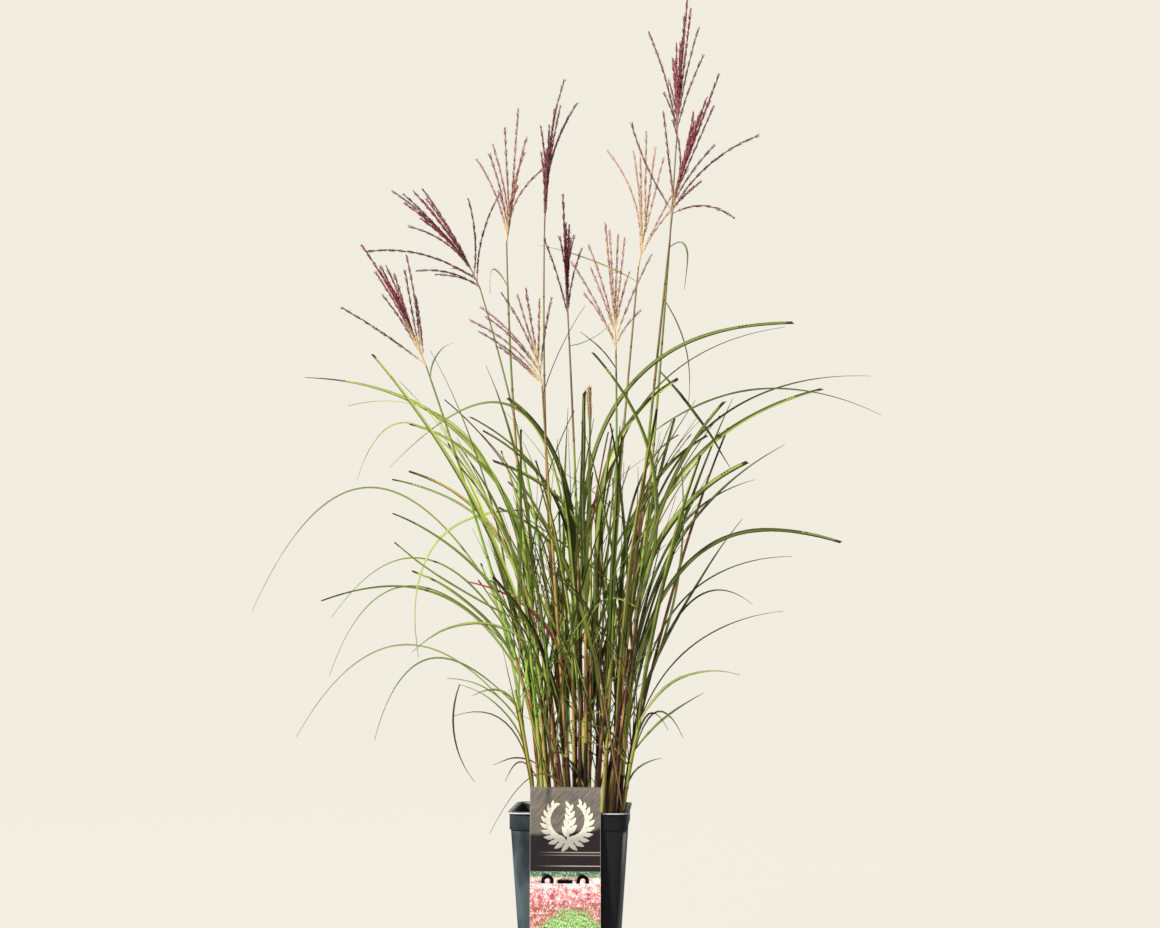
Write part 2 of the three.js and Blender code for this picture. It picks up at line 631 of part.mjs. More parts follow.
// A blade has a flat upper face and a keel below. It rolls and twists about its own arc.
function bladeSolid(leaf, nudge) {
  const { curve, upTo } = leaf;
  const steps = Math.min(5, Math.max(3, Math.round((curve.getLength() * upTo) / 90)));
  const flat = curve.v1.clone().sub(curve.v0).cross(curve.v2.clone().sub(curve.v0));
  const side = flat.length() > 1 ? flat.normalize() : new THREE.Vector3(0, 1, 0);
  const rings = [];
  for (let i = 0; i <= steps; i++) {
    const u = (upTo * i) / steps;
    const way = curve.getTangent(u);
    const across = side.clone().applyAxisAngle(way, leaf.roll + leaf.twist * u + nudge);
    const below = across.clone().cross(way);
    const half = Math.max(0.45, bladeHalfWidth(leaf, i / steps));
    const centre = curve.getPoint(u);
    const keel = BLADE_KEEL * (1 - 0.35 * (i / steps));
    rings.push([
      centre.clone().addScaledVector(across, half),
      centre.clone().addScaledVector(across, -half),
      centre.clone().addScaledVector(below, keel),
    ]);
  }
  return manifoldOf(skin(rings));
}

// A branch of a flower head is thin where it leaves the axis, then swells and narrows with its spikelets.
const BRANCH_PROFILE = [0.65, 0.65, 1.5, 0.95, 1.4, 0.65];

function branchSolid(curve, nudge) {
  const rings = BRANCH_PROFILE.map((radius, i) => {
    const u = i / (BRANCH_PROFILE.length - 1);
    return ringRound(curve.getPoint(u), curve.getTangent(u), radius, 3, (i % 2) + nudge);
  });
  return manifoldOf(skin(rings));
}

function headSolid(head, nudge) {
  const way = head.axis.getTangent(0);
  const foot = head.axis.getPoint(0).addScaledVector(way, GAP);
  const end = head.axis.getPoint(1);
  const ends = [ringRound(foot, way, CULM_TOP_RADIUS, CULM_SIDES), ringRound(end, way, 0.8, CULM_SIDES)];
  const axis = manifoldOf(skin(ends));
  return head.branches.reduce((made, branch) => made.add(branchSolid(branch, nudge)), axis);
}

// The brown spindle at the top of the shoot that hasn't flowered.
function budSolid(stem) {
  const way = stem.curve.getTangent(1);
  const foot = stem.curve.getPoint(1).addScaledVector(way, GAP);
  const profile = [[0, CULM_TOP_RADIUS], [0.25, BUD.radius * 0.8], [0.6, BUD.radius], [1, BUD.radius * 0.75]];
  const along = (u) => foot.clone().addScaledVector(way, u * BUD.length);
  const ringAt = ([u, radius]) => ringRound(along(u), way, radius, 7);
  return manifoldOf(skin(profile.map(ringAt)));
}

// pot, soil and label
function squareRing([half, radius, z]) {
  const ring = [];
  for (let corner = 0; corner < 4; corner++) {
    const middle = (Math.PI / 2) * corner + Math.PI / 4;
    const inset = (half - radius) * Math.SQRT2;
    const centre = new THREE.Vector3(inset * Math.cos(middle), inset * Math.sin(middle), z);
    for (let i = 0; i <= CORNER_STEPS; i++) {
      const angle = (Math.PI / 2) * (corner + i / CORNER_STEPS);
      const out = new THREE.Vector3(radius * Math.cos(angle), radius * Math.sin(angle), 0);
      ring.push(centre.clone().add(out));
    }
  }
  return ring;
}

const squareSolid = (profile) => manifoldOf(skin(profile.map(squareRing)));

const bodyHalf = (z) => FOOT_HALF + ((BODY_TOP_HALF - FOOT_HALF) * z) / BAND_FOOT_Z;
const innerHalf = (z) => Math.min(bodyHalf(z), BODY_TOP_HALF) - WALL;

function box(width, depth, height, x, y, z) {
  return manifoldOf(new THREE.BoxGeometry(width, depth, height).translate(x, y, z));
}

function potSolid() {
  const lipFoot = POT_HEIGHT - LIP_THICKNESS;
  const well = innerHalf(BAND_FOOT_Z);
  const outer = squareSolid([
    [FOOT_HALF - 1.5, CORNER_RADIUS - 2, 0],
    [FOOT_HALF, CORNER_RADIUS - 1, 2],
    [BODY_TOP_HALF, CORNER_RADIUS, BAND_FOOT_Z],
    [BAND_HALF, CORNER_RADIUS, BAND_FOOT_Z + 1.6],
    [BAND_HALF, CORNER_RADIUS, lipFoot],
    [LIP_HALF, CORNER_RADIUS + 2, lipFoot + 0.3],
    [LIP_HALF, CORNER_RADIUS + 2, POT_HEIGHT - 0.4],
    [LIP_HALF - 0.5, CORNER_RADIUS + 1.6, POT_HEIGHT],
  ]);
  const inner = squareSolid([
    [innerHalf(FLOOR + 1), CORNER_RADIUS - WALL - 1, FLOOR],
    [well, CORNER_RADIUS - WALL, BAND_FOOT_Z],
    [well, CORNER_RADIUS - WALL, POT_HEIGHT + 1],
  ]);
  let pot = outer.subtract(inner);
  const { depth, width, start, drainRadius, drainAt } = CHANNEL;
  const length = FOOT_HALF + 5 - start;
  for (let arm = 0; arm < 4; arm++) {
    const angle = (Math.PI / 2) * arm;
    const groove = new THREE.BoxGeometry(length, width, 2 * depth).translate(start + length / 2, 0, 0);
    const drain = new THREE.CylinderGeometry(drainRadius, drainRadius, 6 * FLOOR, 8).rotateX(Math.PI / 2);
    pot = pot.subtract(manifoldOf(groove.rotateZ(angle)));
    pot = pot.subtract(manifoldOf(drain.translate(drainAt, 0, 0).rotateZ(angle)));
  }
  return pot;
}

function soilSolid() {
  const low = FLOOR + GAP;
  const well = innerHalf(BAND_FOOT_Z) - GAP;
  const body = squareSolid([
    [innerHalf(low) - 3 * GAP, CORNER_RADIUS - WALL - 1, low],
    [well, CORNER_RADIUS - WALL, BAND_FOOT_Z + 1],
    [well, CORNER_RADIUS - WALL, SOIL_EDGE_Z],
    [50, 14, SOIL_Z - 0.5],
    [18, 6, SOIL_CROWN_Z],
  ]);
  const depth = BODY_TOP_HALF + TONGUE_FRONT_Y + LABEL.sheet + GAP;
  const middleY = -BODY_TOP_HALF + depth / 2;
  const height = 40;
  const notch = box(LABEL.tongueWidth + 2 * GAP, depth, height, LABEL.middleX, middleY,
    LABEL.tongueFootZ - GAP + height / 2);
  return stems.reduce((soil, stem) => soil.subtract(stemHole(stem)), body.subtract(notch));
}

const CARD_CUT = { bevelEnabled: false, curveSegments: 5 };

// The label is one sheet: a long front, a fold over the rim, and a tongue behind the rim that stands in
// the soil. Two arched slots and a bar are cut through the front, as for a shop hook.
function labelSolid() {
  const front = LABEL_BACK_Y - LABEL.sheet;
  const back = TONGUE_FRONT_Y + LABEL.sheet;
  const middle = (front + back) / 2;
  const outer = (back - front) / 2;
  const foldZ = LABEL.topZ - outer;
  const outline = new THREE.Shape();
  outline.moveTo(front, LABEL.bottomZ);
  outline.lineTo(LABEL_BACK_Y, LABEL.bottomZ);
  outline.lineTo(LABEL_BACK_Y, foldZ);
  outline.absarc(middle, foldZ, outer - LABEL.sheet, Math.PI, 0, true);
  outline.lineTo(TONGUE_FRONT_Y, LABEL.tongueFootZ);
  outline.lineTo(back, LABEL.tongueFootZ);
  outline.lineTo(back, foldZ);
  outline.absarc(middle, foldZ, outer, 0, Math.PI, false);
  outline.closePath();
  // The outline is drawn in y and z, and the sheet's width runs along x.
  const sheet = new THREE.ExtrudeGeometry(outline, { ...CARD_CUT, depth: LABEL.width });
  sheet.rotateX(Math.PI / 2).rotateZ(Math.PI / 2).translate(LABEL.middleX - LABEL.width / 2, 0, 0);
  let label = manifoldOf(sheet);
  const side = (LABEL.width - LABEL.tongueWidth) / 2 + 1;
  const below = 2 * (LABEL.topZ - LABEL.shoulder - LABEL.tongueFootZ);
  for (const way of [-1, 1]) {
    const x = LABEL.middleX + (way * (LABEL.tongueWidth + side)) / 2;
    label = label.subtract(box(side, 6, below, x, back, LABEL.tongueFootZ));
  }
  const { z, outer: reach, stroke, leg, archAt, barLength } = LABEL_SLOTS;
  const arch = new THREE.Shape();
  arch.moveTo(reach, -leg);
  arch.absarc(0, 0, reach, 0, Math.PI, false);
  arch.lineTo(-reach, -leg);
  arch.lineTo(-reach + stroke, -leg);
  arch.absarc(0, 0, reach - stroke, Math.PI, 0, true);
  arch.lineTo(reach - stroke, -leg);
  arch.closePath();
  for (const way of [-1, 1]) {
    const slot = new THREE.ExtrudeGeometry(arch, { ...CARD_CUT, depth: 6 });
    slot.rotateX(Math.PI / 2).translate(LABEL.middleX + way * archAt, front + 3, z);
    label = label.subtract(manifoldOf(slot));
  }
  return label.subtract(box(barLength, 6, stroke, LABEL.middleX, front, z - leg + stroke / 2));
}

// finishes
const finish = (color, roughness) => new THREE.MeshStandardMaterial({ color, roughness, metalness: 0 });
const potPlastic = finish(0x22262b, 0.42);
const pottingSoil = finish(0x2b1f18, 0.95);
const labelCard = finish(0x8c8176, 0.4);
const greenLeaf = finish(0x6d8f2d, 0.55);
const innerLeaf = finish(0x4f7322, 0.55);
const culmSkin = finish(0x8a8a3a, 0.6);
const redPlume = finish(0x7d2c3f, 0.7);
const brownBud = finish(0x8a5a35, 0.7);

const grass = new THREE.Group();
grass.name = "potted_grass";

function addPiece(name, make, material) {
  const mesh = new THREE.Mesh(closedGeometry(make), material);
  mesh.name = name;
  grass.add(mesh);
}

settleRimAndLabel();
placeCulms();
placeShoots();
placeInnerShoots();
placeListedLeaves();
placeRuleLeaves();

addPiece("pot", potSolid, potPlastic);
addPiece("soil", soilSolid, pottingSoil);
addPiece("label", labelSolid, labelCard);
for (const stem of stems) {
  const tall = isTall(stem);
  const bare = stemSolid(stem, tall ? 6 : 2);
  const leafy = (nudge) => stem.leaves.reduce((made, leaf) => made.add(bladeSolid(leaf, nudge)), bare);
  addPiece(stem.name, leafy, tall ? culmSkin : stem.inner ? innerLeaf : greenLeaf);
  if (stem.head) addPiece("plume_" + stem.owner, (nudge) => headSolid(stem.head, nudge), redPlume);
  if (stem.name === BUD.name) addPiece("bud_spindle", () => budSolid(stem), brownBud);
}

export default grass;
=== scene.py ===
"""The look of a red maiden grass in a square nursery pot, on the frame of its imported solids.

The clump is laid out once more by the rule that its solids follow, in the same order and from the same
stream of numbers, so that each fine stem, blade and plume lies where its solid does. Lengths in the layout
are millimetres, and every mesh is made in metres.
"""

import logging
import math
from dataclasses import dataclass, field
from enum import Enum
from typing import Any, Callable, Sequence

import bpy
import numpy as np
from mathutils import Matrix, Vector


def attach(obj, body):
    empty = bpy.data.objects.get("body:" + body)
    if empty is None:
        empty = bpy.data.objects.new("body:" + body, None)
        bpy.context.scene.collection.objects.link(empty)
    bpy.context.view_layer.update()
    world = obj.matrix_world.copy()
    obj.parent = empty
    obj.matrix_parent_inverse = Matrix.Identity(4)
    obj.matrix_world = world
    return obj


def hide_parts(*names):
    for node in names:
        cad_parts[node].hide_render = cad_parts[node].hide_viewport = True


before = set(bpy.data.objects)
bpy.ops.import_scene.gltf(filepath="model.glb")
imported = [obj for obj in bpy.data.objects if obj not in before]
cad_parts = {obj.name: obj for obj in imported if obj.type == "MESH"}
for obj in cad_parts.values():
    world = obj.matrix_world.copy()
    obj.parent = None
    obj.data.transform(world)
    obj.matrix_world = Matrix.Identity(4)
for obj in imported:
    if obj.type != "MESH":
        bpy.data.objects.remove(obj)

log = logging.getLogger("grass")
Array = np.ndarray
Colour = tuple[float, float, float]

MM = 0.001

# The clump's layout in millimetres. A place is how far right and how high it looks on the upright plane
# through the pot's middle, from the eye point; its depth behind that plane is given apart.
EYE = np.array([138.0, -2300.0, 416.0])
CLUMP_X = 12.0
SOIL_Z = 188.0
ROOT_DEPTH = 24.0
CULM_FOOT, CULM_TOP, SHOOT_TOP = 3.0, 1.15, 1.9
BRANCH_RADIUS = 1.5
SPACE, BLADE_SPACE = 0.7, 2.0
STEPS = 12
MIDDLE_FROM, MIDDLE_TO = 0.3, 0.72
TRIES = 60
SEED = 20240917
DEPTH_STEP, DEPTH_TRIES = 9.0, 37
INNER_COUNT, INNER_CANDIDATES, INNER_RX, INNER_RY = 12, 90, 60.0, 50.0
INNER_APART, INNER_LEAN, INNER_LOW, INNER_HIGH = 9.5, 0.0062, 110.0, 250.0
INNER_LEAVES, SHOOT_EXTRA_LEAVES, CULM_EXTRA_LEAVES, CUT_SHARE = 5, 2, 2, 0.45
GOLDEN_ANGLE = 2.39996
OUTLINE_FOOT, OUTLINE_TOP, OUTLINE_HALF, OUTLINE_SPREAD = 225.0, 745.0, 60.0, 0.29

# The spans of a chance leaf's turn, its lean at the foot, the lean it gains by its tip, and its length.
Span = tuple[float, float]
RULE_SPANS: tuple[Span, ...] = ((-0.8, 0.8), (0.1, 0.34), (0.12, 0.95), (250, 540))
WISP_SPANS: tuple[Span, ...] = ((0, 2 * math.pi), (0.1, 0.95), (-0.1, 0.9), (90, 400))

# The pot, its soil and its label card, in millimetres.
POT_HEIGHT, FOOT_HALF, BODY_TOP_HALF, BAND_HALF, LIP_HALF = 200.0, 62.0, 74.0, 75.6, 78.0
BAND_FOOT_Z, LIP_THICKNESS, WALL, FLOOR, CORNER_RADIUS = 177.0, 2.4, 1.8, 3.6, 13.0
LABEL_WIDTH, LABEL_X, LABEL_TOP, LABEL_FOOT, SHEET = 90.0, -3.0, 232.0, 36.0, 0.8
TONGUE_WIDTH, TONGUE_FOOT, SHOULDER = 30.0, 172.0, 22.0
LABEL_BACK_Y = -(LIP_HALF + 0.4)
TONGUE_FRONT_Y = -(BODY_TOP_HALF - WALL - 0.5)
SLOT_Z, SLOT_REACH, SLOT_STROKE, SLOT_LEG, ARCH_AT, BAR_LENGTH = 114.6, 8.0, 4.6, 3.0, 22.4, 19.0

# The camera stands at the eye point.
CAMERA_TURN, CAMERA_TILT, FOCAL_PIXELS, FRAME_WIDTH = 3.15, 5.9, 1723.0, 1160.0


class Tip(Enum):
    """How a blade ends."""

    POINTED = "p"
    CUT = "c"


@dataclass(frozen=True)
class LeafSpec:
    """A leaf seen in the outline: its share up the stem, its middle and tip as seen, and its width."""

    share: float
    middle: tuple[float, float]
    tip: tuple[float, float]
    width: float
    kind: Tip = Tip.POINTED
    depth: float | None = None


@dataclass(frozen=True)
class CulmSpec:
    """A flowering stem: its foot, middle, top and its depth, its head's axis end and branches, its leaves.

    Its middle has got the share lag of the way from the foot's depth to the top's.
    """

    name: str
    base: tuple[float, float]
    middle: tuple[float, float]
    top: tuple[float, float]
    depth: float
    axis: tuple[float, float]
    branches: tuple[tuple[float, float, float], ...]
    leaves: tuple[LeafSpec, ...] = ()
    lag: float = 0.4


@dataclass(frozen=True)
class ShootSpec:
    """A leafy shoot: its foot, top, depth of the top, and the leaves seen in the outline."""

    name: str
    base: tuple[float, float]
    top: tuple[float, float]
    depth: float
    leaves: tuple[LeafSpec, ...]


def leaf_rows(*rows: tuple[float | Tip, ...]) -> tuple[LeafSpec, ...]:
    """Leaves of rows: share, middle in x and z, tip in x and z, width, then tip kind and depth if given."""
    return tuple(LeafSpec(row[0], row[1:3], row[3:5], *row[5:]) for row in rows)


P, C = Tip.POINTED, Tip.CUT

CULMS = (
    CulmSpec("far_left", (-20, -14), (-100, 485), (-198, 789), -30, (-216, 828), (
        (-312, 869, 0.02), (-257, 885, 0.03), (-213, 883, 0.02), (-287, 955, 0.03), (-226, 940, 0.02),
        (-228, 918, 0), (-268, 918, 0.02), (-242, 914, 0), (-261, 925, 0.02), (-253, 925, 0.02)),
        leaf_rows((0.97, -182, 806, -161, 821, 1.8))),
    CulmSpec("left", (-8, 22), (-59, 633), (-125, 895), 40, (-142, 932), (
        (-209, 921, 0.1), (-183, 915, 0.06), (-98, 1028, 0.07), (-277, 949, 0.1), (-160, 924, 0.04),
        (-141, 1017, 0.05), (-221, 982, 0.1), (-245, 1031, 0.05), (-229, 1026, 0.03), (-216, 1030, 0.02),
        (-203, 1032, 0.02))),
    CulmSpec("centre_left", (-14, 4), (-69, 606), (-89, 961), -30, (-84, 987), (
        (-41, 1059, 0.12), (-129, 1073, 0.05), (-75, 1035, 0.04), (-112, 1080, 0.03), (-100, 1028, 0.03),
        (-66, 1081, 0.05), (-108, 1093, 0.03), (-63, 1102, 0.02), (-92, 1116, 0), (-74, 1143, 0)),
        leaf_rows((0.92, -106, 922, -111, 888, 2))),
    CulmSpec("centre_back", (-3, 36), (-32, 606), (-37, 987), 70, (-35, 1023), (
        (-42, 1118, 0.03), (6, 1150, 0.08), (-34, 1087, 0), (-31, 1118, 0), (-5, 1132, 0.06),
        (-28, 1101, 0), (-16, 1146, 0.02), (-24, 1142, 0), (-11, 1183, 0.04))),
    CulmSpec("centre", (16, -8), (6, 606), (-5, 855), -12, (-6, 881), (
        (-36, 959, 0.02), (13, 946, 0.04), (3, 965, 0.04), (-16, 963, 0.03), (-9, 954, 0),
        (-1, 961, 0.02), (-8, 972, 0), (-4, 967, 0), (-12, 1021, 0)),
        leaf_rows((0.94, 22, 822, 54, 846, 2.2))),
    CulmSpec("centre_right", (41, -30), (58, 525), (60, 809), -70, (58, 853), (
        (1, 928, 0.03), (91, 860, 0.06), (18, 885, 0.03), (107, 936, 0.02), (27, 919, 0.02),
        (24, 951, 0.02), (77, 912, 0.02), (72, 960, 0), (46, 980, 0), (63, 964, 0), (52, 971, 0)),
        leaf_rows((0.96, 38, 812, 12, 834, 2.4))),
    CulmSpec("right_back", (33, 20), (68, 673), (91, 924), 40, (100, 976), (
        (50, 1083, 0.1), (156, 1053, 0.02), (174, 1038, 0.05), (85, 1080, 0.02), (94, 1071, 0),
        (125, 1071, 0), (114, 1085, 0), (102, 1107, 0)),
        leaf_rows((0.97, 24, 934, -45, 954, 2))),
    CulmSpec("right_low", (49, -12), (99, 645), (137, 994), -45, (141, 1029), (
        (219, 990, 0.16), (83, 1120, -0.04), (253, 1102, 0.09), (174, 1038, 0.03), (139, 1124, -0.08),
        (193, 1088, 0.04), (126, 1135, 0), (162, 1109, 0), (193, 1142, 0), (173, 1129, 0), (184, 1154, 0),
        (201, 1187, 0)),
        leaf_rows(
            (0.86, 153, 815, 158, 736, 2.4), (0.98, 149, 956, 153, 890, 2.2),
            (0.7, 231, 751, 414, 717, 2.8))),
    CulmSpec("right_high", (58, 10), (112, 699), (144, 1107), 30, (146, 1143), (
        (107, 1249, 0.03), (180, 1214, 0.03), (128, 1162, 0.02), (134, 1180, 0.03), (174, 1253, 0.02),
        (139, 1210, 0), (144, 1231, 0), (164, 1280, 0), (152, 1239, 0), (155, 1269, 0), (159, 1293, 0)),
        leaf_rows((0.64, 163, 726, 214, 645, 3.4))),
    CulmSpec("left_low", (2, -36), (-26, 552), (-40, 760), -85, (-47, 799), (
        (-96, 813, 0.03), (-123, 834, 0.05), (-136, 850, 0.07), (-28, 878, 0.02), (-114, 854, 0.06),
        (-122, 868, 0.05), (-94, 886, 0.04), (-44, 876, 0), (-73, 883, 0), (-62, 891, 0)),
        leaf_rows((0.98, -10, 822, 18, 870, 2), (0.07, -36, 243, -108, 165, 3, P, -128))),
)

BUD = CulmSpec("bud", (22, 14), (26, 520), (24, 712), 20, (24, 758), (), lag=0.5)
BUD_LENGTH, BUD_RADIUS = 46.0, 3.4

SHOOTS = (
    ShootSpec("a", (-46, -8), (-75, 353), -14, leaf_rows(
        (0.35, -112, 322, -158, 318, 3), (0.35, -95, 330, -149, 360, 2.2), (0.7, -99, 353, -132, 344, 3.2),
        (0.8, -123, 359, -166, 368, 3), (1, -196, 392, -262, 286, 2.6), (0.9, -232, 412, -367, 290, 2.4))),
    ShootSpec("b", (-40, 12), (-63, 405), 18, leaf_rows(
        (0.7, -190, 483, -336, 471, 5, C), (0.8, -129, 460, -214, 511, 4.2, C),
        (1, -231, 526, -323, 449, 2.6), (1, -244, 485, -324, 371, 2.2))),
    ShootSpec("c", (-34, -24), (-59, 445), -40, leaf_rows(
        (0.8, -147, 532, -242, 588, 4.2, C), (0.9, -122, 579, -243, 634, 3.8, C),
        (1, -178, 681, -273, 806, 7, C), (1, -120, 441, -214, 403, 3.6))),
    ShootSpec("d", (-28, 28), (-55, 445), 44, leaf_rows(
        (0.9, -180, 719, -364, 774, 7), (1, -122, 587, -220, 646, 4.4, C), (0.8, -305, 618, -431, 456, 2.8))),
    ShootSpec("e", (-30, 0), (-55, 472), 4, leaf_rows(
        (1, -165, 688, -234, 769, 4.2), (0.9, -199, 732, -304, 735, 2.4), (1, -80, 687, -117, 789, 4.6))),
    ShootSpec("f", (5, -16), (1, 472), -26, leaf_rows(
        (0.9, -47, 646, -138, 719, 6, C), (1, -36, 690, -87, 744, 7, C), (0.8, -13, 603, -106, 659, 5, C),
        (0.7, -29, 548, -98, 595, 5, C), (1, -115, 738, -247, 651, 3.4), (0.4, -62, 463, -137, 496, 5, C),
        (0.9, -238, 710, -291, 634, 2.8))),
    ShootSpec("g", (35, -8), (35, 419), -10, leaf_rows((1, 41, 605, 57, 702, 8))),
    ShootSpec("h", (20, -26), (19, 472), -36, leaf_rows(
        (0.9, 133, 805, 299, 844, 6, C), (1, 15, 632, 18, 752, 6, C))),
    ShootSpec("i", (45, 4), (51, 472), 6, leaf_rows(
        (0.8, 151, 788, 288, 838, 3), (1, 77, 708, 144, 768, 7.4, C))),
    ShootSpec("j", (50, 26), (75, 445), 46, leaf_rows(
        (1, 231, 736, 400, 770, 3.6), (0.9, 193, 685, 337, 753, 7.2, C), (1, 116, 635, 183, 691, 6.8, C),
        (0.8, 101, 648, 144, 693, 4.2, C))),
    ShootSpec("k", (63, -8), (86, 406), -14, leaf_rows(
        (0.9, 193, 611, 286, 678, 4), (1, 152, 596, 236, 655, 8, C), (0.8, 173, 596, 246, 632, 3.4),
        (0.9, 218, 558, 358, 547, 5.6, C), (0.7, 148, 549, 145, 674, 3.8))),
    ShootSpec("l", (66, 24), (94, 353), 34, leaf_rows(
        (1, 171, 498, 228, 580, 4.6), (0.9, 185, 501, 293, 529, 3.4), (0.8, 191, 485, 240, 465, 2.4),
        (0.7, 177, 423, 281, 456, 2.2))),
    ShootSpec("m", (67, -26), (91, 314), -46, leaf_rows(
        (1, 150, 371, 223, 373, 4), (0.7, 128, 320, 176, 349, 3.2), (0.6, 123, 324, 147, 290, 2.6),
        (0.35, 92, 254, 119, 263, 3))),
    ShootSpec("n", (55, -38), (91, 472), -62, leaf_rows(
        (1, 103, 672, 28, 806, 8, C), (0.8, 105, 578, 119, 686, 5))),
)

# Thin leaves that only the fine model has, by the stem they grow on.
EXTRAS = {
    "shoot_f": leaf_rows((0.86, -47, 644, -120, 700, 4, C)),
    "culm_left": leaf_rows((0.56, -164, 566, -205, 396, 4)),
    "shoot_e": leaf_rows((0.98, -135, 666, -221, 711, 4.6, C), (0.3, -46, 333, -22, 322, 4.4)),
    "shoot_c": leaf_rows((0.98, -160, 493, -239, 549, 2.6, C)),
    "shoot_h": leaf_rows(
        (0.12, -28, 277, -92, 262, 4), (0.85, 46, 473, 98, 454, 3), (0.2, 30, 325, 63, 298, 5)),
    "culm_far_left": leaf_rows((0.35, -128, 666, -193, 811, 2.4)),
    "shoot_b": leaf_rows((0.2, -68, 258, -88, 232, 2.4), (0.3, -59, 262, -104, 254, 2.2)),
    "shoot_m": leaf_rows((0.5, 112, 322, 128, 300, 2.4)),
}

# The dead end that hangs from a leaf's tip, by its stem and its place among the leaves in the outline.
HANGING = {("shoot_a", 1): LeafSpec(1, (-156, 293), (-128, 232), 2.4)}

# The first number of the extra leaves of a stem, and the number of a dead end.
FIRST_EXTRA, DEAD_END = 50, 90

# The tone of a leaf, how far it is dry, and the hue of what is dry: straw, orange, brown, then red.
# The tones hold painted light as well as the leaf's own green: leaves to the upper left, where the key light
# falls, are given lighter tones.
LEAF_LOOKS = {
    ("shoot_f", 5): (0.4, 1.0, 1.0), ("shoot_f", 0): (0.12, 0.0, 0.6), ("shoot_f", 1): (0.08, 0.0, 0.7),
    ("shoot_f", 2): (0.2, 0.1, 0.5), ("shoot_f", 3): (0.2, 0.1, 0.5), ("shoot_c", 2): (0.86, 0.0, 0.1),
    ("shoot_d", 0): (0.86, 0.0, 0.1), ("shoot_e", 0): (0.72, 0.0, 0.2), ("shoot_e", 1): (0.8, 0.0, 0.1),
    ("shoot_d", 1): (0.6, 0.42, 0.35), ("shoot_c", 3): (0.5, 0.0, 0.3), ("shoot_h", 0): (0.34, 0.0, 0.3),
    ("shoot_j", 1): (0.5, 0.0, 0.3), ("shoot_k", 1): (0.5, 0.0, 0.3), ("shoot_i", 1): (0.55, 0.0, 0.3),
    ("shoot_n", 0): (0.42, 0.0, 0.3), ("shoot_g", 0): (0.42, 0.0, 0.3), ("shoot_m", 0): (0.7, 0.0, 0.1),
    ("shoot_k", 3): (0.35, 0.0, 0.5), ("shoot_b", 0): (0.35, 0.0, 0.5),
    ("culm_left_low", 1): (0.9, 0.8, 0.12),
    ("shoot_f", 50): (0.1, 0.0, 0.6), ("culm_left", 50): (0.6, 0.0, 0.1), ("shoot_e", 50): (0.8, 0.1, 0.4),
    ("shoot_e", 51): (0.6, 0.0, 0.1), ("shoot_h", 50): (0.7, 0.0, 0.9), ("shoot_h", 51): (0.7, 0.0, 0.1),
    ("shoot_h", 52): (0.95, 0.0, 0.9), ("shoot_a", DEAD_END): (0.1, 1.0, 0.7),
    ("shoot_m", 50): (0.1, 0.8, 0.7),
    ("shoot_b", 50): (0.1, 0.6, 0.7), ("shoot_b", 51): (0.1, 0.6, 0.7),
}

# Each flower head's tone, its pallor, and how far the feet of its branches pale to straw.
PLUME_TONES = {
    "far_left": (0.42, 0.10, 0.9), "left": (0.36, 0.08, 0.1), "centre_left": (0.62, 0.40, 0.8),
    "centre_back": (0.40, 0.15, 0.1), "centre": (0.34, 0.06, 0.1), "centre_right": (0.52, 0.70, 0.9),
    "right_back": (0.60, 0.85, 0.9), "right_low": (0.50, 0.10, 0.2), "right_high": (0.52, 0.10, 0.1),
    "left_low": (0.42, 0.50, 1.0),
}


class NumberStream:
    """A seeded stream of numbers from 0 to 1, the same as the solids use: a 32-bit mixing of a counter."""

    def __init__(self, seed: int) -> None:
        """Start the stream at a seed."""
        self.state = seed

    def draw(self) -> float:
        """Give the next number."""
        mask = 0xFFFFFFFF
        self.state = (self.state + 0x6D2B79F5) & mask
        mixed = ((self.state ^ (self.state >> 15)) * (1 | self.state)) & mask
        mixed = ((mixed + (((mixed ^ (mixed >> 7)) * (61 | mixed)) & mask)) & mask) ^ mixed
        return (mixed ^ (mixed >> 14)) / (mask + 1)

    def between(self, low: float, high: float) -> float:
        """Give the next number, spread from low to high."""
        return low + (high - low) * self.draw()


def seen(place: Sequence[float], depth: float) -> Array:
    """The point that looks to be at a place on the middle plane and lies at a depth.

    The point is the eye plus the way from the eye to the place, times one plus depth over the eye's
    distance.

    Args:
        place: how far right and how high it looks.
        depth: how far it lies behind the middle plane.

    Returns:
        The point in millimetres.
    """
    scale = 1 + depth / -EYE[1]
    return np.array([EYE[0] + (place[0] - EYE[0]) * scale, depth, EYE[2] + (place[1] - EYE[2]) * scale])


def unit(ways: Array) -> Array:
    """Each row made one long."""
    return ways / np.maximum(np.linalg.norm(ways, axis=1, keepdims=True), 1e-9)


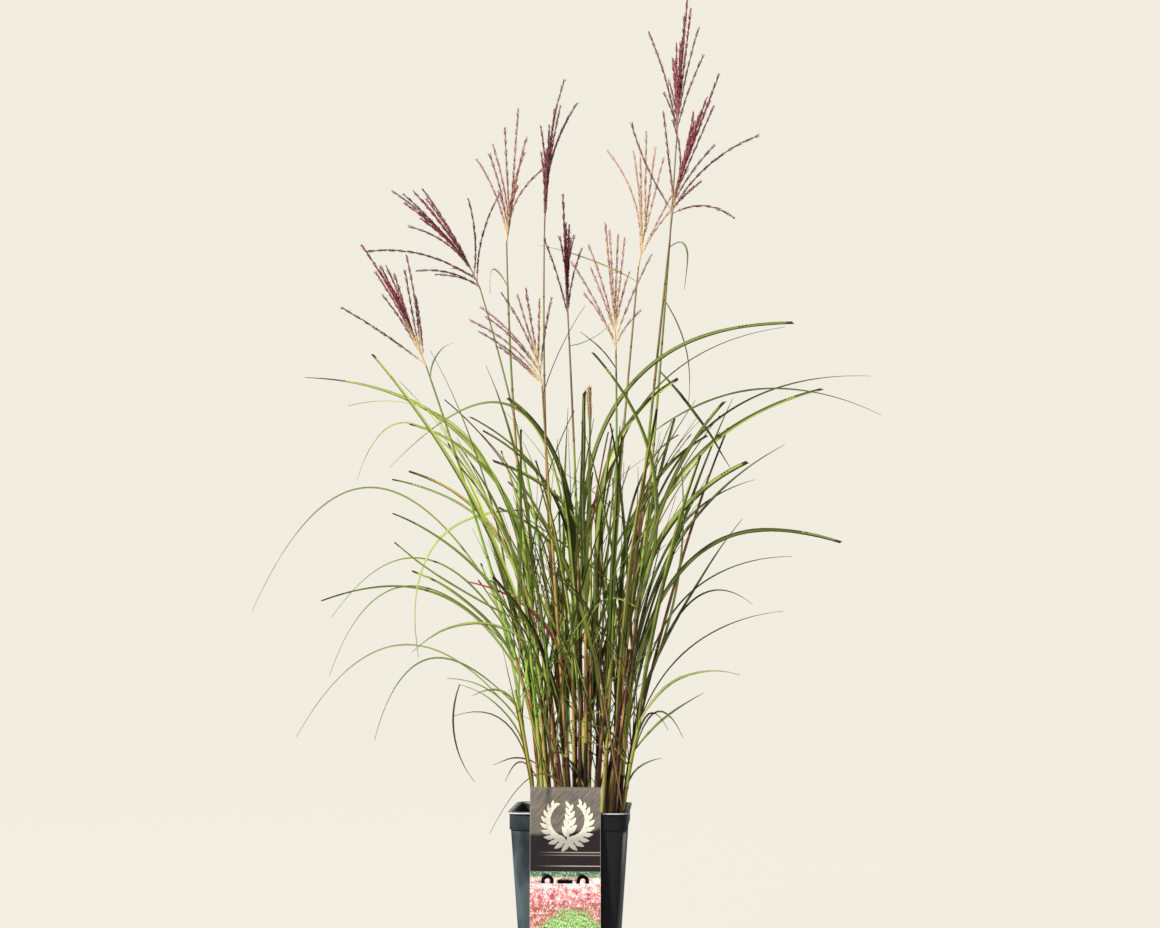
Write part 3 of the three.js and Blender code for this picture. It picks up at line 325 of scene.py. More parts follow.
@dataclass(frozen=True)
class Arc:
    """A quadratic arc: (1-u)² of its foot, 2u(1-u) of its control and u² of its tip."""

    foot: Array
    control: Array
    tip: Array

    @classmethod
    def through(cls, foot: Array, middle: Array, tip: Array) -> "Arc":
        """The arc from foot to tip that passes through middle at its share of the way.

        Args:
            foot: where it starts.
            middle: a point on it.
            tip: where it ends.

        Returns:
            The arc, with (middle - (1-u)² foot - u² tip) / 2u(1-u) for its control.
        """
        before = np.linalg.norm(middle - foot)
        share = min(MIDDLE_TO, max(MIDDLE_FROM, before / (before + np.linalg.norm(tip - middle))))
        control = middle - (1 - share) ** 2 * foot - share**2 * tip
        return cls(foot, control / (2 * share * (1 - share)), tip)

    def at(self, u: Array | float) -> Array:
        """Points on the arc at the shares u."""
        u = np.atleast_1d(np.asarray(u, float))[:, None]
        return (1 - u) ** 2 * self.foot + 2 * u * (1 - u) * self.control + u**2 * self.tip

    def way(self, u: Array | float) -> Array:
        """Unit directions of the arc at the shares u: twice the blend of its two legs, made unit."""
        u = np.atleast_1d(np.asarray(u, float))[:, None]
        return unit((1 - u) * (self.control - self.foot) + u * (self.tip - self.control))

    def length(self) -> float:
        """Length of the arc, as the sum of 40 chords."""
        return float(np.linalg.norm(np.diff(self.at(np.linspace(0, 1, 41)), axis=0), axis=1).sum())


@dataclass
class Leaf:
    """A blade as it was placed: its arc, the share of it that is kept, its width, tip, roll and twist."""

    width: float
    kind: Tip
    roll: float
    twist: float
    share: float
    listed: int = -1
    arc: Arc | None = None
    kept: float = 1.0

    def half_width(self, u: Array) -> Array:
        """Half width along the blade: narrow at the foot, full at a quarter, narrowing past 0.45."""
        u = np.asarray(u, float)
        foot = 0.55 + 0.45 * np.minimum(1, u / 0.25)
        end = 0.6 if self.kind is Tip.CUT else 0.1
        taper = np.where(u > 0.45, 1 - (1 - end) * np.maximum((u - 0.45) / 0.55, 0) ** 1.6, 1.0)
        return 0.5 * self.width * foot * taper


@dataclass
class Stem:
    """A stem as it was placed, with the radii of its ends, its leaves and its flower head's branches."""

    node: str
    owner: str
    arc: Arc
    top_radius: float
    foot_radius: float = CULM_FOOT
    listed: tuple[LeafSpec, ...] = ()
    inner: bool = False
    axis: tuple[Array, Array] | None = None
    branches: list[Arc] = field(default_factory=list)
    leaves: list[Leaf] = field(default_factory=list)

    def radius(self, u: Array) -> Array:
        """Radius along the stem, even from foot to top."""
        return self.foot_radius + (self.top_radius - self.foot_radius) * np.asarray(u, float)

    @property
    def kind(self) -> str:
        """Which kind of stem it is: culm, shoot or inner."""
        return self.node.split("_")[0]

    @property
    def tall(self) -> bool:
        """Whether the stem flowers or carries the bud."""
        return self.kind == "culm"


class Crowd:
    """What stands already, as capsules with the owner that may touch them."""

    def __init__(self) -> None:
        """Start with room for many capsules."""
        self.ends = np.zeros((20000, 2, 3))
        self.radii = np.zeros(20000)
        self.owners = np.zeros(20000, int)
        self.count = 0
        self.names: dict[str, int] = {}

    def add(self, start: Array, end: Array, radius: Array | float, owner: str) -> None:
        """Add capsules from start to end."""
        start, end = np.atleast_2d(start), np.atleast_2d(end)
        span = slice(self.count, self.count + len(start))
        self.ends[span, 0], self.ends[span, 1] = start, end
        self.radii[span] = radius
        self.owners[span] = self.names.setdefault(owner, len(self.names))
        self.count += len(start)

    def settle(self, arc: Arc, radius_at: Callable[[Array], Array], owner: str, kept: float = 1.0) -> None:
        """Add an arc as twelve capsules, each as thick as the thicker of its ends."""
        u = kept * np.arange(STEPS + 1) / STEPS
        points, radii = arc.at(u), radius_at(u)
        self.add(points[:-1], points[1:], np.maximum(radii[:-1], radii[1:]), owner)

    def clear_share(self, arc: Arc, radius_at: Callable[[Array], Array], owner: str,
                    space: float = SPACE) -> float:
        """How far along an arc stays clear of all that stands and isn't its owner's.

        The shortest distance between two segments is the distance at the pair of shares that the two
        normal equations give, each share held between 0 and 1 in turn.

        Args:
            arc: the arc to test.
            radius_at: its radius at the shares along it.
            owner: whose capsules it may touch.
            space: the least gap it leaves.

        Returns:
            The share of the arc before the first touch, or 1.
        """
        u = np.arange(STEPS + 1) / STEPS
        points, radii = arc.at(u), radius_at(u)
        reach = np.maximum(radii[:-1], radii[1:]) + space
        ends, thick = self.ends[: self.count], self.radii[: self.count]
        pad = thick[:, None] + reach.max()
        near = (ends.min(axis=1) - pad <= points.max(axis=0)).all(axis=1)
        near &= (ends.max(axis=1) + pad >= points.min(axis=0)).all(axis=1)
        near &= self.owners[: self.count] != self.names.setdefault(owner, len(self.names))
        if not near.any():
            return 1.0
        start, along = points[:-1, None], np.diff(points, axis=0)[:, None]
        other, beside = ends[near, 0][None], (ends[near, 1] - ends[near, 0])[None]
        offset = start - other
        a, c = (along * along).sum(-1), (beside * beside).sum(-1)
        b, d, e = (along * beside).sum(-1), (along * offset).sum(-1), (beside * offset).sum(-1)
        across = a * c - b * b
        s = np.where(across > 1e-9, np.clip((b * e - c * d) / np.where(across > 1e-9, across, 1), 0, 1), 0)
        t = np.clip((b * s + e) / c, 0, 1)
        s = np.clip((b * t - d) / a, 0, 1)
        gap = np.linalg.norm(offset + s[..., None] * along - t[..., None] * beside, axis=-1)
        touched = (gap < reach[:, None] + thick[near][None]).any(axis=1)
        return float(np.argmax(touched)) / STEPS if touched.any() else 1.0


def depth_offset(i: int) -> float:
    """The i-th depth tried: in turn on both sides of the wanted one, nine millimetres further each time."""
    return (1 if i % 2 else -1) * math.ceil(i / 2) * DEPTH_STEP


def branch_radius(u: Array) -> Array:
    """Radius of a flower head's branch, the same all along."""
    return np.full(np.shape(u), BRANCH_RADIUS)


def reach_from(start: Array, length: float, angle: float, turn: float) -> Array:
    """The point a length away, leaning from upright by an angle and turned about the upright."""
    out = length * math.sin(angle)
    return start + np.array([out * math.cos(turn), out * math.sin(turn), length * math.cos(angle)])


def inside_outline(point: Array) -> bool:
    """Whether a point lies in the outline of the clump's leafy part, as seen from the eye point."""
    scale = 1 + point[1] / -EYE[1]
    x = EYE[0] + (point[0] - EYE[0]) / scale
    z = EYE[2] + (point[2] - EYE[2]) / scale
    half = OUTLINE_HALF + OUTLINE_SPREAD * (z - OUTLINE_FOOT)
    return OUTLINE_FOOT + 1 < z < OUTLINE_TOP and abs(x - CLUMP_X) < half


class Layout:
    """The clump's layout, worked out in the order that its solids are."""

    def __init__(self) -> None:
        """Place the rim and the label, then every stem, then every leaf."""
        self.stream = NumberStream(SEED)
        self.crowd = Crowd()
        self.stems: list[Stem] = []
        self.settle_rim_and_label()
        for culm in (*CULMS, BUD):
            self.place_stem(self.culm_at, culm)
        for shoot in SHOOTS:
            self.place_stem(self.shoot_at, shoot)
        self.place_inner_shoots()
        self.place_listed_leaves()
        self.place_rule_leaves()

    def settle_rim_and_label(self) -> None:
        """Settle the pot's rim as four capsules and the label's fold as two."""
        signs = np.array([(-1, -1), (1, -1), (1, 1), (-1, 1)])
        corners = np.hstack([signs * LIP_HALF, np.full((4, 1), POT_HEIGHT)])
        self.crowd.add(corners, np.roll(corners, -1, axis=0), 5, "pot")
        for y in (LABEL_BACK_Y - 1, TONGUE_FRONT_Y):
            ends = [np.array([LABEL_X + side * LABEL_WIDTH / 2, y, LABEL_TOP - 1]) for side in (-1, 1)]
            self.crowd.add(ends[0], ends[1], 3, "label")

    def head_of(self, culm: CulmSpec, arc: Arc, depth: float) -> tuple[tuple[Array, Array], list[Arc]]:
        """The short axis of a flower head, going on from its culm, and the branches that fan from it."""
        foot = arc.at(1)[0]
        end = seen(culm.axis, depth + (depth - culm.base[1]) * 0.05)
        branches = []
        for i, (x, z, bow) in enumerate(culm.branches):
            start = foot + (end - foot) * (0.05 + 0.9 * i / (len(culm.branches) - 1))
            flat = math.hypot(x - culm.axis[0], z - culm.axis[1])
            tip = seen((x, z), depth + 0.26 * flat * math.sin(2.4 * i + culm.base[0]))
            along = tip - start
            side = np.array([-along[2], 0, along[0]]) * (np.sign(along[0]) * bow)
            branches.append(Arc.through(start, start + 0.5 * along + side, tip))
        return (foot, end), branches

    def culm_at(self, culm: CulmSpec, shift: float) -> Stem:
        """A flowering stem with its head, for a shift in depth."""
        depth = culm.depth + shift
        middle = seen(culm.middle, culm.base[1] + (depth - culm.base[1]) * culm.lag)
        arc = Arc.through(np.array([*culm.base, SOIL_Z]), middle, seen(culm.top, depth))
        stem = Stem("culm_" + culm.name, culm.name, arc, CULM_TOP, listed=culm.leaves)
        stem.axis, stem.branches = self.head_of(culm, arc, depth)
        return stem

    @staticmethod
    def shoot_arc(foot: Array, top: Array) -> Arc:
        """A shoot's arc: it stands up a little before it leans out."""
        control = foot + 0.38 * (top - foot)
        control[2] = (foot[2] + top[2]) / 2
        return Arc(foot, control, top)

    def shoot_at(self, shoot: ShootSpec, shift: float) -> Stem:
        """A leafy shoot, for a shift in depth."""
        node = "shoot_" + shoot.name
        arc = self.shoot_arc(np.array([*shoot.base, SOIL_Z]), seen(shoot.top, shoot.depth + shift))
        return Stem(node, node, arc, SHOOT_TOP, listed=shoot.leaves)

    def place_stem(self, stem_at: Callable[[Any, float], Stem], spec: CulmSpec | ShootSpec) -> None:
        """Place a stem at the first depth where it and its branches are clear.

        Args:
            stem_at: gives the stem for its measures and a shift in depth.
            spec: its measures.
        """
        for i in range(DEPTH_TRIES):
            stem = stem_at(spec, depth_offset(i))
            lines = [(stem.arc, stem.radius), *((branch, branch_radius) for branch in stem.branches)]
            if all(self.crowd.clear_share(arc, radius, stem.owner) == 1 for arc, radius in lines):
                break
        for arc, radius in lines:
            self.crowd.settle(arc, radius, stem.owner)
        self.stems.append(stem)

    def place_inner_shoots(self) -> None:
        """Place the inner shoots on a sunflower pattern, where no stem stands yet, leaning outwards."""
        made = 0
        for i in range(INNER_CANDIDATES):
            if made == INNER_COUNT:
                break
            out, turn = math.sqrt((i + 0.5) / INNER_CANDIDATES), GOLDEN_ANGLE * i
            x, y = INNER_RX * out * math.cos(turn), INNER_RY * out * math.sin(turn)
            foot = np.array([CLUMP_X + x, y, SOIL_Z])
            jitter = [self.stream.between(-0.05, 0.05), self.stream.between(-0.05, 0.05)]
            rise = self.stream.between(INNER_LOW, INNER_HIGH)
            if any(np.linalg.norm(stem.arc.foot - foot) < INNER_APART for stem in self.stems):
                continue
            lean = [(foot[0] - CLUMP_X) * INNER_LEAN + jitter[0], foot[1] * INNER_LEAN + jitter[1]]
            top = foot + rise * np.array([lean[0], lean[1], 1.0])
            name = "inner_" + chr(97 + made)
            stem = Stem(name, name, self.shoot_arc(foot, top), SHOOT_TOP, CULM_FOOT * 0.9, inner=True)
            if self.crowd.clear_share(stem.arc, stem.radius, name) < 1:
                continue
            self.crowd.settle(stem.arc, stem.radius, name)
            self.stems.append(stem)
            made += 1

    def keep(self, stem: Stem, leaf: Leaf, arc: Arc, kept: float) -> None:
        """Keep a leaf on its stem."""
        leaf.arc, leaf.kept = arc, kept

        def half_kept(u: Array) -> Array:
            """Half width where the leaf is shortened to the share that is kept."""
            return leaf.half_width(np.minimum(1, u / kept))

        self.crowd.settle(arc, half_kept, stem.owner, kept)
        stem.leaves.append(leaf)

    def place_listed_leaves(self) -> None:
        """Place the leaves seen in the outline, each with its tip at the first depth where it is clear."""
        for stem in self.stems:
            for k, spec in enumerate(stem.listed):
                share = min(spec.share, 0.985) - 0.035 * k
                self.place_leaf(stem, spec, k, share, stem.arc.at(share)[0])

    def place_leaf(self, stem: Stem, spec: LeafSpec, k: int, share: float, foot: Array) -> None:
        """Place one leaf of a given outline.

        Args:
            stem: the stem it grows on.
            spec: its outline.
            k: its place among the leaves of its stem.
            share: its share up the stem.
            foot: where it starts.
        """
        roll = self.stream.between(0.75, 1.15) * (-1 if self.stream.draw() < 0.5 else 1)
        leaf = Leaf(spec.width, spec.kind, roll, self.stream.between(-0.5, 0.5), share, k)
        best, best_arc = -1.0, None
        for i in range(DEPTH_TRIES):
            if best >= 1:
                break
            depth = (foot[1] * 1.4 if spec.depth is None else spec.depth) + depth_offset(i)
            arc = Arc.through(foot, seen(spec.middle, (foot[1] + depth) / 2), seen(spec.tip, depth))
            clear = self.crowd.clear_share(arc, leaf.half_width, stem.owner, BLADE_SPACE)
            if clear > best:
                best, best_arc = clear, arc
        if best >= 0.5:
            self.keep(stem, leaf, best_arc, best)

    def place_rule_leaves(self) -> None:
        """Place the leaves set by rule: in two ranks on their stem, steep at first and bending outwards."""
        between = self.stream.between
        for stem in self.stems:
            count = INNER_LEAVES if stem.inner else CULM_EXTRA_LEAVES if stem.tall else SHOOT_EXTRA_LEAVES
            rank = math.pi / 2 + between(-0.9, 0.9)
            for k in range(count):
                share = 0.12 + 0.2 * k + between(0, 0.1) if stem.tall else 0.35 + 0.64 * (k + 0.5) / count
                width = between(3.4, 7)
                kind = Tip.CUT if self.stream.draw() < CUT_SHARE else Tip.POINTED
                leaf = Leaf(width, kind, between(-0.9, 0.9), between(-0.6, 0.6), share)
                self.place_by_chance(stem, leaf, rank + math.pi * k, RULE_SPANS, TRIES, BLADE_SPACE)

    def place_by_chance(self, stem: Stem, leaf: Leaf, heading: float, spans: Sequence[Span], tries: int,
                        space: float) -> None:
        """Place a leaf on the first chance arc that stays in the outline and clear of the others.

        Args:
            stem: the stem it grows on.
            leaf: the leaf, with its share up the stem.
            heading: the turn about the upright that its chance turn is added to.
            spans: the least and most of its turn, its lean at the foot, what it leans further, its length.
            tries: how many arcs are tried.
            space: the least gap to what stands already.
        """
        between, foot = self.stream.between, stem.arc.at(leaf.share)[0]
        for _ in range(tries):
            turn = heading + between(*spans[0])
            start = between(*spans[1])
            bend = start + between(*spans[2])
            half = between(*spans[3]) / 2
            control = reach_from(foot, half, start, turn)
            arc = Arc(foot, control, reach_from(control, half, bend, turn))
            if not inside_outline(arc.tip) or not inside_outline(arc.at(0.5)[0]):
                continue
            if self.crowd.clear_share(arc, leaf.half_width, stem.owner, space) == 1:
                self.keep(stem, leaf, arc, 1.0)
                break


class FineLayout(Layout):
    """The layout with the thin blades added that the solids are too few for."""

    wisps: dict[str, int] = {"culm": 3, "shoot": 6, "inner": 2}
    space: float = -1.4
    tries: int = 24
    cut_share: float = 0.3

    def __init__(self, seed: int = 77) -> None:
        """Place what the solids have, then the thin blades from a stream of their own."""
        super().__init__()
        self.stream = NumberStream(seed)
        self.place_extras()
        self.place_wisps()

    def place_extras(self) -> None:
        """Place the thin leaves read off the photograph, and the dead ends that hang from tips."""
        for stem in self.stems:
            for (node, k), spec in HANGING.items():
                if node == stem.node:
                    held = next(leaf for leaf in stem.leaves if leaf.listed == k)
                    self.place_leaf(stem, spec, DEAD_END, held.share, held.arc.at(held.kept)[0])
            for k, spec in enumerate(EXTRAS.get(stem.node, ())):
                self.place_leaf(stem, spec, FIRST_EXTRA + k, spec.share, stem.arc.at(spec.share)[0])

    def place_wisps(self) -> None:
        """Place thin blades as the others by chance are, but all round; they may touch by self.space."""
        between = self.stream.between
        for stem in self.stems:
            for _ in range(self.wisps[stem.kind]):
                share = between(0.02, 0.5) if stem.tall else between(0.04, 0.98)
                kind = Tip.CUT if self.stream.draw() < self.cut_share else Tip.POINTED
                leaf = Leaf(between(1.2, 3.8), kind, between(-1.2, 1.2), between(-0.9, 0.9), share)
                self.place_by_chance(stem, leaf, 0.0, WISP_SPANS, self.tries, self.space)


class Wire:
    """A shader socket on which the operators add Math nodes."""

    def __init__(self, shader: "Shader", socket: bpy.types.NodeSocket | None) -> None:
        """Wrap a socket of a shader, or none after its last node."""
        self.shader, self.socket = shader, socket

    def math(self, operation: str, *others: "Wire | float") -> "Wire":
        """Add a Math node of an operation, with this as its first value."""
        return self.shader.node("Math", {"operation": operation}, dict(enumerate((self, *others))))

    def __add__(self, other: "Wire | float") -> "Wire":
        """Sum."""
        return self.math("ADD", other)

    def __sub__(self, other: "Wire | float") -> "Wire":
        """Difference."""
        return self.math("SUBTRACT", other)

    def __rsub__(self, other: "Wire | float") -> "Wire":
        """Difference from a number."""
        return self * -1.0 + other

    def __mul__(self, other: "Wire | float") -> "Wire":
        """Product."""
        return self.math("MULTIPLY", other)

    __radd__, __rmul__ = __add__, __mul__

    def rise(self, low: float, high: float) -> "Wire":
        """Rise smoothly from 0 at low to 1 at high, or fall where low is the higher."""
        feeds = {"Value": self, "From Min": low, "From Max": high}
        return self.shader.node("MapRange", {"interpolation_type": "SMOOTHSTEP"}, feeds)


Feed = Wire | float | Sequence[float]


class Shader:
    """The nodes of one material."""

    def __init__(self, name: str) -> None:
        """Start a material with no nodes."""
        self.material = bpy.data.materials.new(name)
        self.material.use_nodes = True
        self.tree = self.material.node_tree
        self.tree.nodes.clear()

    def node(self, kind: str, settings: dict[str, Any] | None = None, feeds: dict[Any, Feed] | None = None,
             out: int | str = 0) -> Wire:
        """Add a node.

        Args:
            kind: its type, without the ShaderNode that every type begins with.
            settings: its properties, set first; stops holds the places and colours of a ramp.
            feeds: the value or link of each socket, by its name or number.
            out: the output to give, where it has any.

        Returns:
            The output.
        """
        made = self.tree.nodes.new("ShaderNode" + kind)
        for key, value in (settings or {}).items():
            if key == "stops":
                for place, _ in value[2:]:
                    made.color_ramp.elements.new(place)
                for element, (place, colour) in zip(made.color_ramp.elements, value):
                    element.position, element.color = place, (*colour, 1.0)
            else:
                setattr(made, key, value)
        for key, value in (feeds or {}).items():
            socket = made.inputs[key]
            if isinstance(value, Wire):
                self.tree.links.new(value.socket, socket)
            else:
                socket.default_value = (*value, 1.0) if socket.type == "RGBA" else value
        return Wire(self, made.outputs[out] if made.outputs else None)

    def value(self, name: str) -> Wire:
        """A value that the mesh holds at each point."""
        return self.node("Attribute", {"attribute_name": name}, out="Fac")

    def place(self) -> Wire:
        """The point's place on the object, in metres."""
        return self.node("TexCoord", out="Object")

    def part(self, vector: Wire, axis: str) -> Wire:
        """One part of a vector, X, Y or Z."""
        return self.node("SeparateXYZ", None, {0: vector}, axis)

    def vector(self, x: Feed, y: Feed, z: Feed) -> Wire:
        """A vector of three values."""
        return self.node("CombineXYZ", None, {0: x, 1: y, 2: z})

    def noise(self, where: Wire, scale: float, detail: float = 2.0) -> Wire:
        """Smooth noise from 0 to 1."""
        return self.node("TexNoise", None, {"Vector": where, "Scale": scale, "Detail": detail})

    def blend(self, share: Feed, first: Feed, second: Feed) -> Wire:
        """A colour from the first at share 0 to the second at share 1."""
        return self.node("Mix", {"data_type": "RGBA"}, {0: share, 6: first, 7: second}, 2)

    def ramp(self, value: Wire, *stops: tuple[float, Colour]) -> Wire:
        """A colour looked up by a value."""
        return self.node("ValToRGB", {"stops": stops}, {0: value})

    def bump(self, height: Wire, depth: float) -> Wire:
        """A normal that follows a height, as deep in metres as is given."""
        return self.node("Bump", None, {"Height": height, "Distance": depth, "Strength": 1.0})

    def finish(self, **feeds: Feed) -> bpy.types.Material:
        """Close the shader with a Principled surface, whose sockets are named with _ for a space.

        Args:
            feeds: the value or link of each socket.

        Returns:
            The material.
        """
        named = {key.replace("_", " "): value for key, value in feeds.items()}
        self.node("OutputMaterial", None, {"Surface": self.node("BsdfPrincipled", None, named)})
        return self.material


@dataclass(frozen=True)
class BladeFinish:
    """Grass blade: green by its tone, with veins, a pale rib, a pale foot and dry brown ends."""

    dark: Colour = (0.017, 0.024, 0.002)
    mid: Colour = (0.092, 0.125, 0.009)
    bright: Colour = (0.390, 0.455, 0.105)
    fresh: Colour = (0.070, 0.190, 0.022)
    rib: Colour = (0.420, 0.440, 0.200)
    foot: Colour = (0.300, 0.290, 0.090)
    straw: Colour = (0.430, 0.320, 0.130)
    orange: Colour = (0.330, 0.130, 0.040)
    brown: Colour = (0.045, 0.022, 0.014)
    red: Colour = (0.300, 0.030, 0.045)
    veins: float = 24.0

    def material(self) -> bpy.types.Material:
        """Make the material.

        Veins are a sine of the place across; streaks are noise stretched along the blade. One half of a
        blade is painted lighter than the other, as painted light and shade on the two sides of its fold,
        and its edges are dark. The dry colour takes over where the blade's dryness and the streaks add up.
        """
        s = Shader("grass_blade")
        along, across, rust = s.value("along"), s.value("across"), s.value("rust")
        streak = s.noise(s.vector(across * 2.6, along * 3.0, rust * 90.0), 1.0, 3.0)
        patch = s.noise(s.vector(across * 0.3, along * 2.4, rust * 60.0 + 5.0), 1.0, 1.0)
        vein = (across * self.veins).math("SINE")
        # painted light and shade: one half of the blade, chosen by chance, is lighter than the other
        side = across.rise(-0.3, 0.3) * (rust * 40.0).math("SINE").rise(-0.1, 0.1)
        side = side + across.rise(0.3, -0.3) * (rust * 40.0).math("SINE").rise(0.1, -0.1)
        edge = across.math("ABSOLUTE").rise(0.72, 0.98)
        light = s.value("tone") + streak * 0.6 + patch * 0.6 - 0.76 + vein * 0.08 + side * 0.45 - edge * 0.3
        green = s.ramp(light, (0.0, self.dark), (0.42, self.mid), (1.0, self.bright))
        hue = (rust * 7.3).math("FRACT").rise(0.62, 0.9) * along.rise(1.0, 0.2)
        green = s.blend(hue * 0.6, green, self.fresh)
        rib = across.math("ABSOLUTE").rise(0.22, 0.06)
        green = s.blend(rib * 0.55, green, s.blend(0.5, green, self.rib))
        green = s.blend(along.rise(0.16, 0.0) * 0.7, green, self.foot)
        dead = s.ramp(rust + streak * 0.2 - 0.1, (0.0, self.straw), (0.4, self.orange), (0.72, self.brown),
                      (0.86, self.brown), (0.98, self.red))
        worn = (s.value("dry") + streak * 0.5).rise(0.5, 0.85)
        colour = s.blend(worn, green, dead)
        rough = 0.45 + 0.25 * worn + 0.1 * streak
        relief = s.bump(vein * 0.5 + streak, 0.00012)
        return s.finish(Base_Color=colour, Roughness=rough, Specular_IOR_Level=0.2, Normal=relief)


@dataclass(frozen=True)
class StemFinish:
    """Grass stem: dark and straw sheaths at the foot, green above, reddish brown near a flower head."""

    root: Colour = (0.016, 0.008, 0.006)
    russet: Colour = (0.150, 0.050, 0.022)
    sheath: Colour = (0.370, 0.215, 0.075)
    olive: Colour = (0.290, 0.300, 0.050)
    green: Colour = (0.160, 0.330, 0.035)
    fresh: Colour = (0.050, 0.160, 0.030)
    plum: Colour = (0.115, 0.074, 0.040)
    joint: Colour = (0.030, 0.013, 0.010)

    def material(self) -> bpy.types.Material:
        """Make the material: a ramp by the tone of each length between joints, with long streaks."""
        s = Shader("grass_stem")
        along, across, rust = (s.value(name) for name in ("along", "across", "rust"))
        streak = s.noise(s.vector(across * 4.0, along * 12.0, rust * 70.0), 1.0, 4.0)
        patch = s.noise(s.vector(across * 0.5, along * 14.0, rust * 50.0 + 7.0), 1.0, 2.0)
        level = s.value("tone") + (streak - 0.52) * 1.1 + (patch - 0.5) * 0.55
        colour = s.ramp(level, (0.0, self.root), (0.22, self.russet), (0.4, self.sheath), (0.62, self.olive),
                        (1.0, self.green))
        hue = (rust * 9.1).math("FRACT").rise(0.8, 0.9) * level.rise(0.4, 0.8)
        colour = s.blend(hue * along.rise(0.6, 0.2) * 0.6, colour, self.fresh)
        colour = s.blend(along.rise(0.6, 1.0) * 0.7, colour, self.plum)
        colour = s.blend(s.value("dry") * 0.7, colour, self.joint)
        relief = s.bump(streak + (across * 30.0).math("SINE") * 0.3, 0.00015)
        return s.finish(Base_Color=colour, Roughness=0.45 + 0.25 * streak, Specular_IOR_Level=0.3,
                        Normal=relief)


@dataclass(frozen=True)
class PlumeFinish:
    """Flower head: dark wine spikelets that pale to pink or straw, with fine paler hairs."""

    black: Colour = (0.012, 0.003, 0.005)
    wine: Colour = (0.100, 0.006, 0.020)
    rose: Colour = (0.330, 0.028, 0.070)
    taupe: Colour = (0.110, 0.060, 0.055)
    blush: Colour = (0.400, 0.235, 0.200)
    straw: Colour = (0.520, 0.390, 0.200)
    hair: Colour = (0.280, 0.050, 0.090)

    def material(self) -> bpy.types.Material:
        """Make the material: wine or pale by the head's own pallor, straw where a head's foot pales."""
        s = Shader("grass_plume")
        tone, pallor = s.value("tone"), s.value("rust")
        grain = s.noise(s.place(), 900.0)
        level = tone + grain * 0.3 - 0.15
        rich = s.ramp(level, (0.0, self.black), (0.5, self.wine), (1.0, self.rose))
        pale = s.ramp(level, (0.0, self.taupe), (0.6, self.blush), (1.0, self.straw))
        colour = s.blend(pallor, rich, pale)
        colour = s.blend(s.value("dry") * 0.3, colour, self.hair)
        colour = s.blend(s.value("across"), colour, self.straw)
        return s.finish(Base_Color=colour, Roughness=0.62, Specular_IOR_Level=0.2,
                        Normal=s.bump(grain, 0.0001))


@dataclass(frozen=True)
class BudFinish:
    """Dry sheath of the unopened spindle, orange brown with dark furrows."""

    light: Colour = (0.450, 0.310, 0.140)
    dark: Colour = (0.055, 0.024, 0.014)

    def material(self) -> bpy.types.Material:
        """Make the material: dark in the furrows that the mesh marks, with long streaks."""
        s = Shader("grass_bud")
        across, along, rust = (s.value(name) for name in ("across", "along", "rust"))
        streak = s.noise(s.vector(across * 2.0, along * 10.0, rust * 30.0), 1.0, 3.0)
        colour = s.blend((s.value("tone") * 0.6 + streak).rise(0.45, 1.1), self.dark, self.light)
        return s.finish(Base_Color=colour, Roughness=0.6, Normal=s.bump(streak, 0.0003))


@dataclass(frozen=True)
class PotFinish:
    """Satin black plastic with grain, rub marks, a painted sheen with a dusty film, and painted highlights.
    """

    black: Colour = (0.0095, 0.0095, 0.0120)
    # blue-grey of a painted sheen where the key light falls on the left, mixed with a dusty film
    blue_sheen: Colour = (0.066, 0.094, 0.108)
    scuff: Colour = (0.220, 0.240, 0.250)
    # pale colours of painted highlights: a strip on the right front corner, then a line round the lip
    corner_highlight: Colour = (0.300, 0.290, 0.290)
    edge: Colour = (0.600, 0.620, 0.630)

    def material(self) -> bpy.types.Material:
        """Make the material.

        A painted blue-grey sheen, for the key light on the left, is strongest on the left of the front
        and gone on its right, broken by noise as a dusty film; rub marks are the thin crests of noise
        stretched along the walls. A pale strip at the right front corner and a pale line round the lip
        are painted highlights.
        """
        s = Shader("pot_plastic")
        place = s.place()
        x, y, z = (s.part(place, axis) for axis in "XYZ")
        cloud = s.noise(s.vector(x * 34.0, y * 34.0, z * 15.0), 1.0, 6.0)
        # painted sheen: the left of the front is lighter, where the key light falls, broken by noise as a
        # dusty film
        sheen_fade = (x * -1.0 + (cloud - 0.5) * 0.035 - y * 0.15).rise(-0.012, 0.045)
        dust_and_sheen = sheen_fade * (0.2 + 0.95 * cloud.rise(0.3, 0.62))
        rub = s.noise(s.vector(x * 260.0, y * 260.0, z * 14.0), 1.0, 3.0).rise(0.66, 0.8)
        colour = s.blend(dust_and_sheen, self.black, self.blue_sheen)
        colour = s.blend(rub * (0.1 + dust_and_sheen * 0.5), colour, self.scuff)
        band = z.rise(0.1760, 0.1775)
        colour = s.blend(band * 0.6, colour, self.black)
        # painted highlight: a pale strip on the rounded right front corner, below the band
        corner = (x - z * 0.0678).rise(0.0575, 0.0600) * (y * -1.0).rise(0.045, 0.060) * z.rise(0.176, 0.172)
        colour = s.blend(corner * (0.3 + z.rise(0.09, 0.172)) * cloud.rise(0.2, 0.7), colour, self.corner_highlight)
        # painted highlight: the pale line round the lip's top edge is a reflection painted in, broken by
        # noise and stronger on the lit left
        worn = z.rise(0.1974, 0.1978) * z.rise(0.1996, 0.1990) * (cloud + sheen_fade * 0.3).rise(0.4, 0.6)
        colour = s.blend(worn * 0.8, colour, self.edge)
        grain = s.noise(place, 1700.0)
        rough = 0.34 + 0.16 * cloud + 0.18 * dust_and_sheen
        return s.finish(Base_Color=colour, Roughness=rough, Specular_IOR_Level=0.3,
                        Normal=s.bump(grain + rub * 0.6, 0.00006))


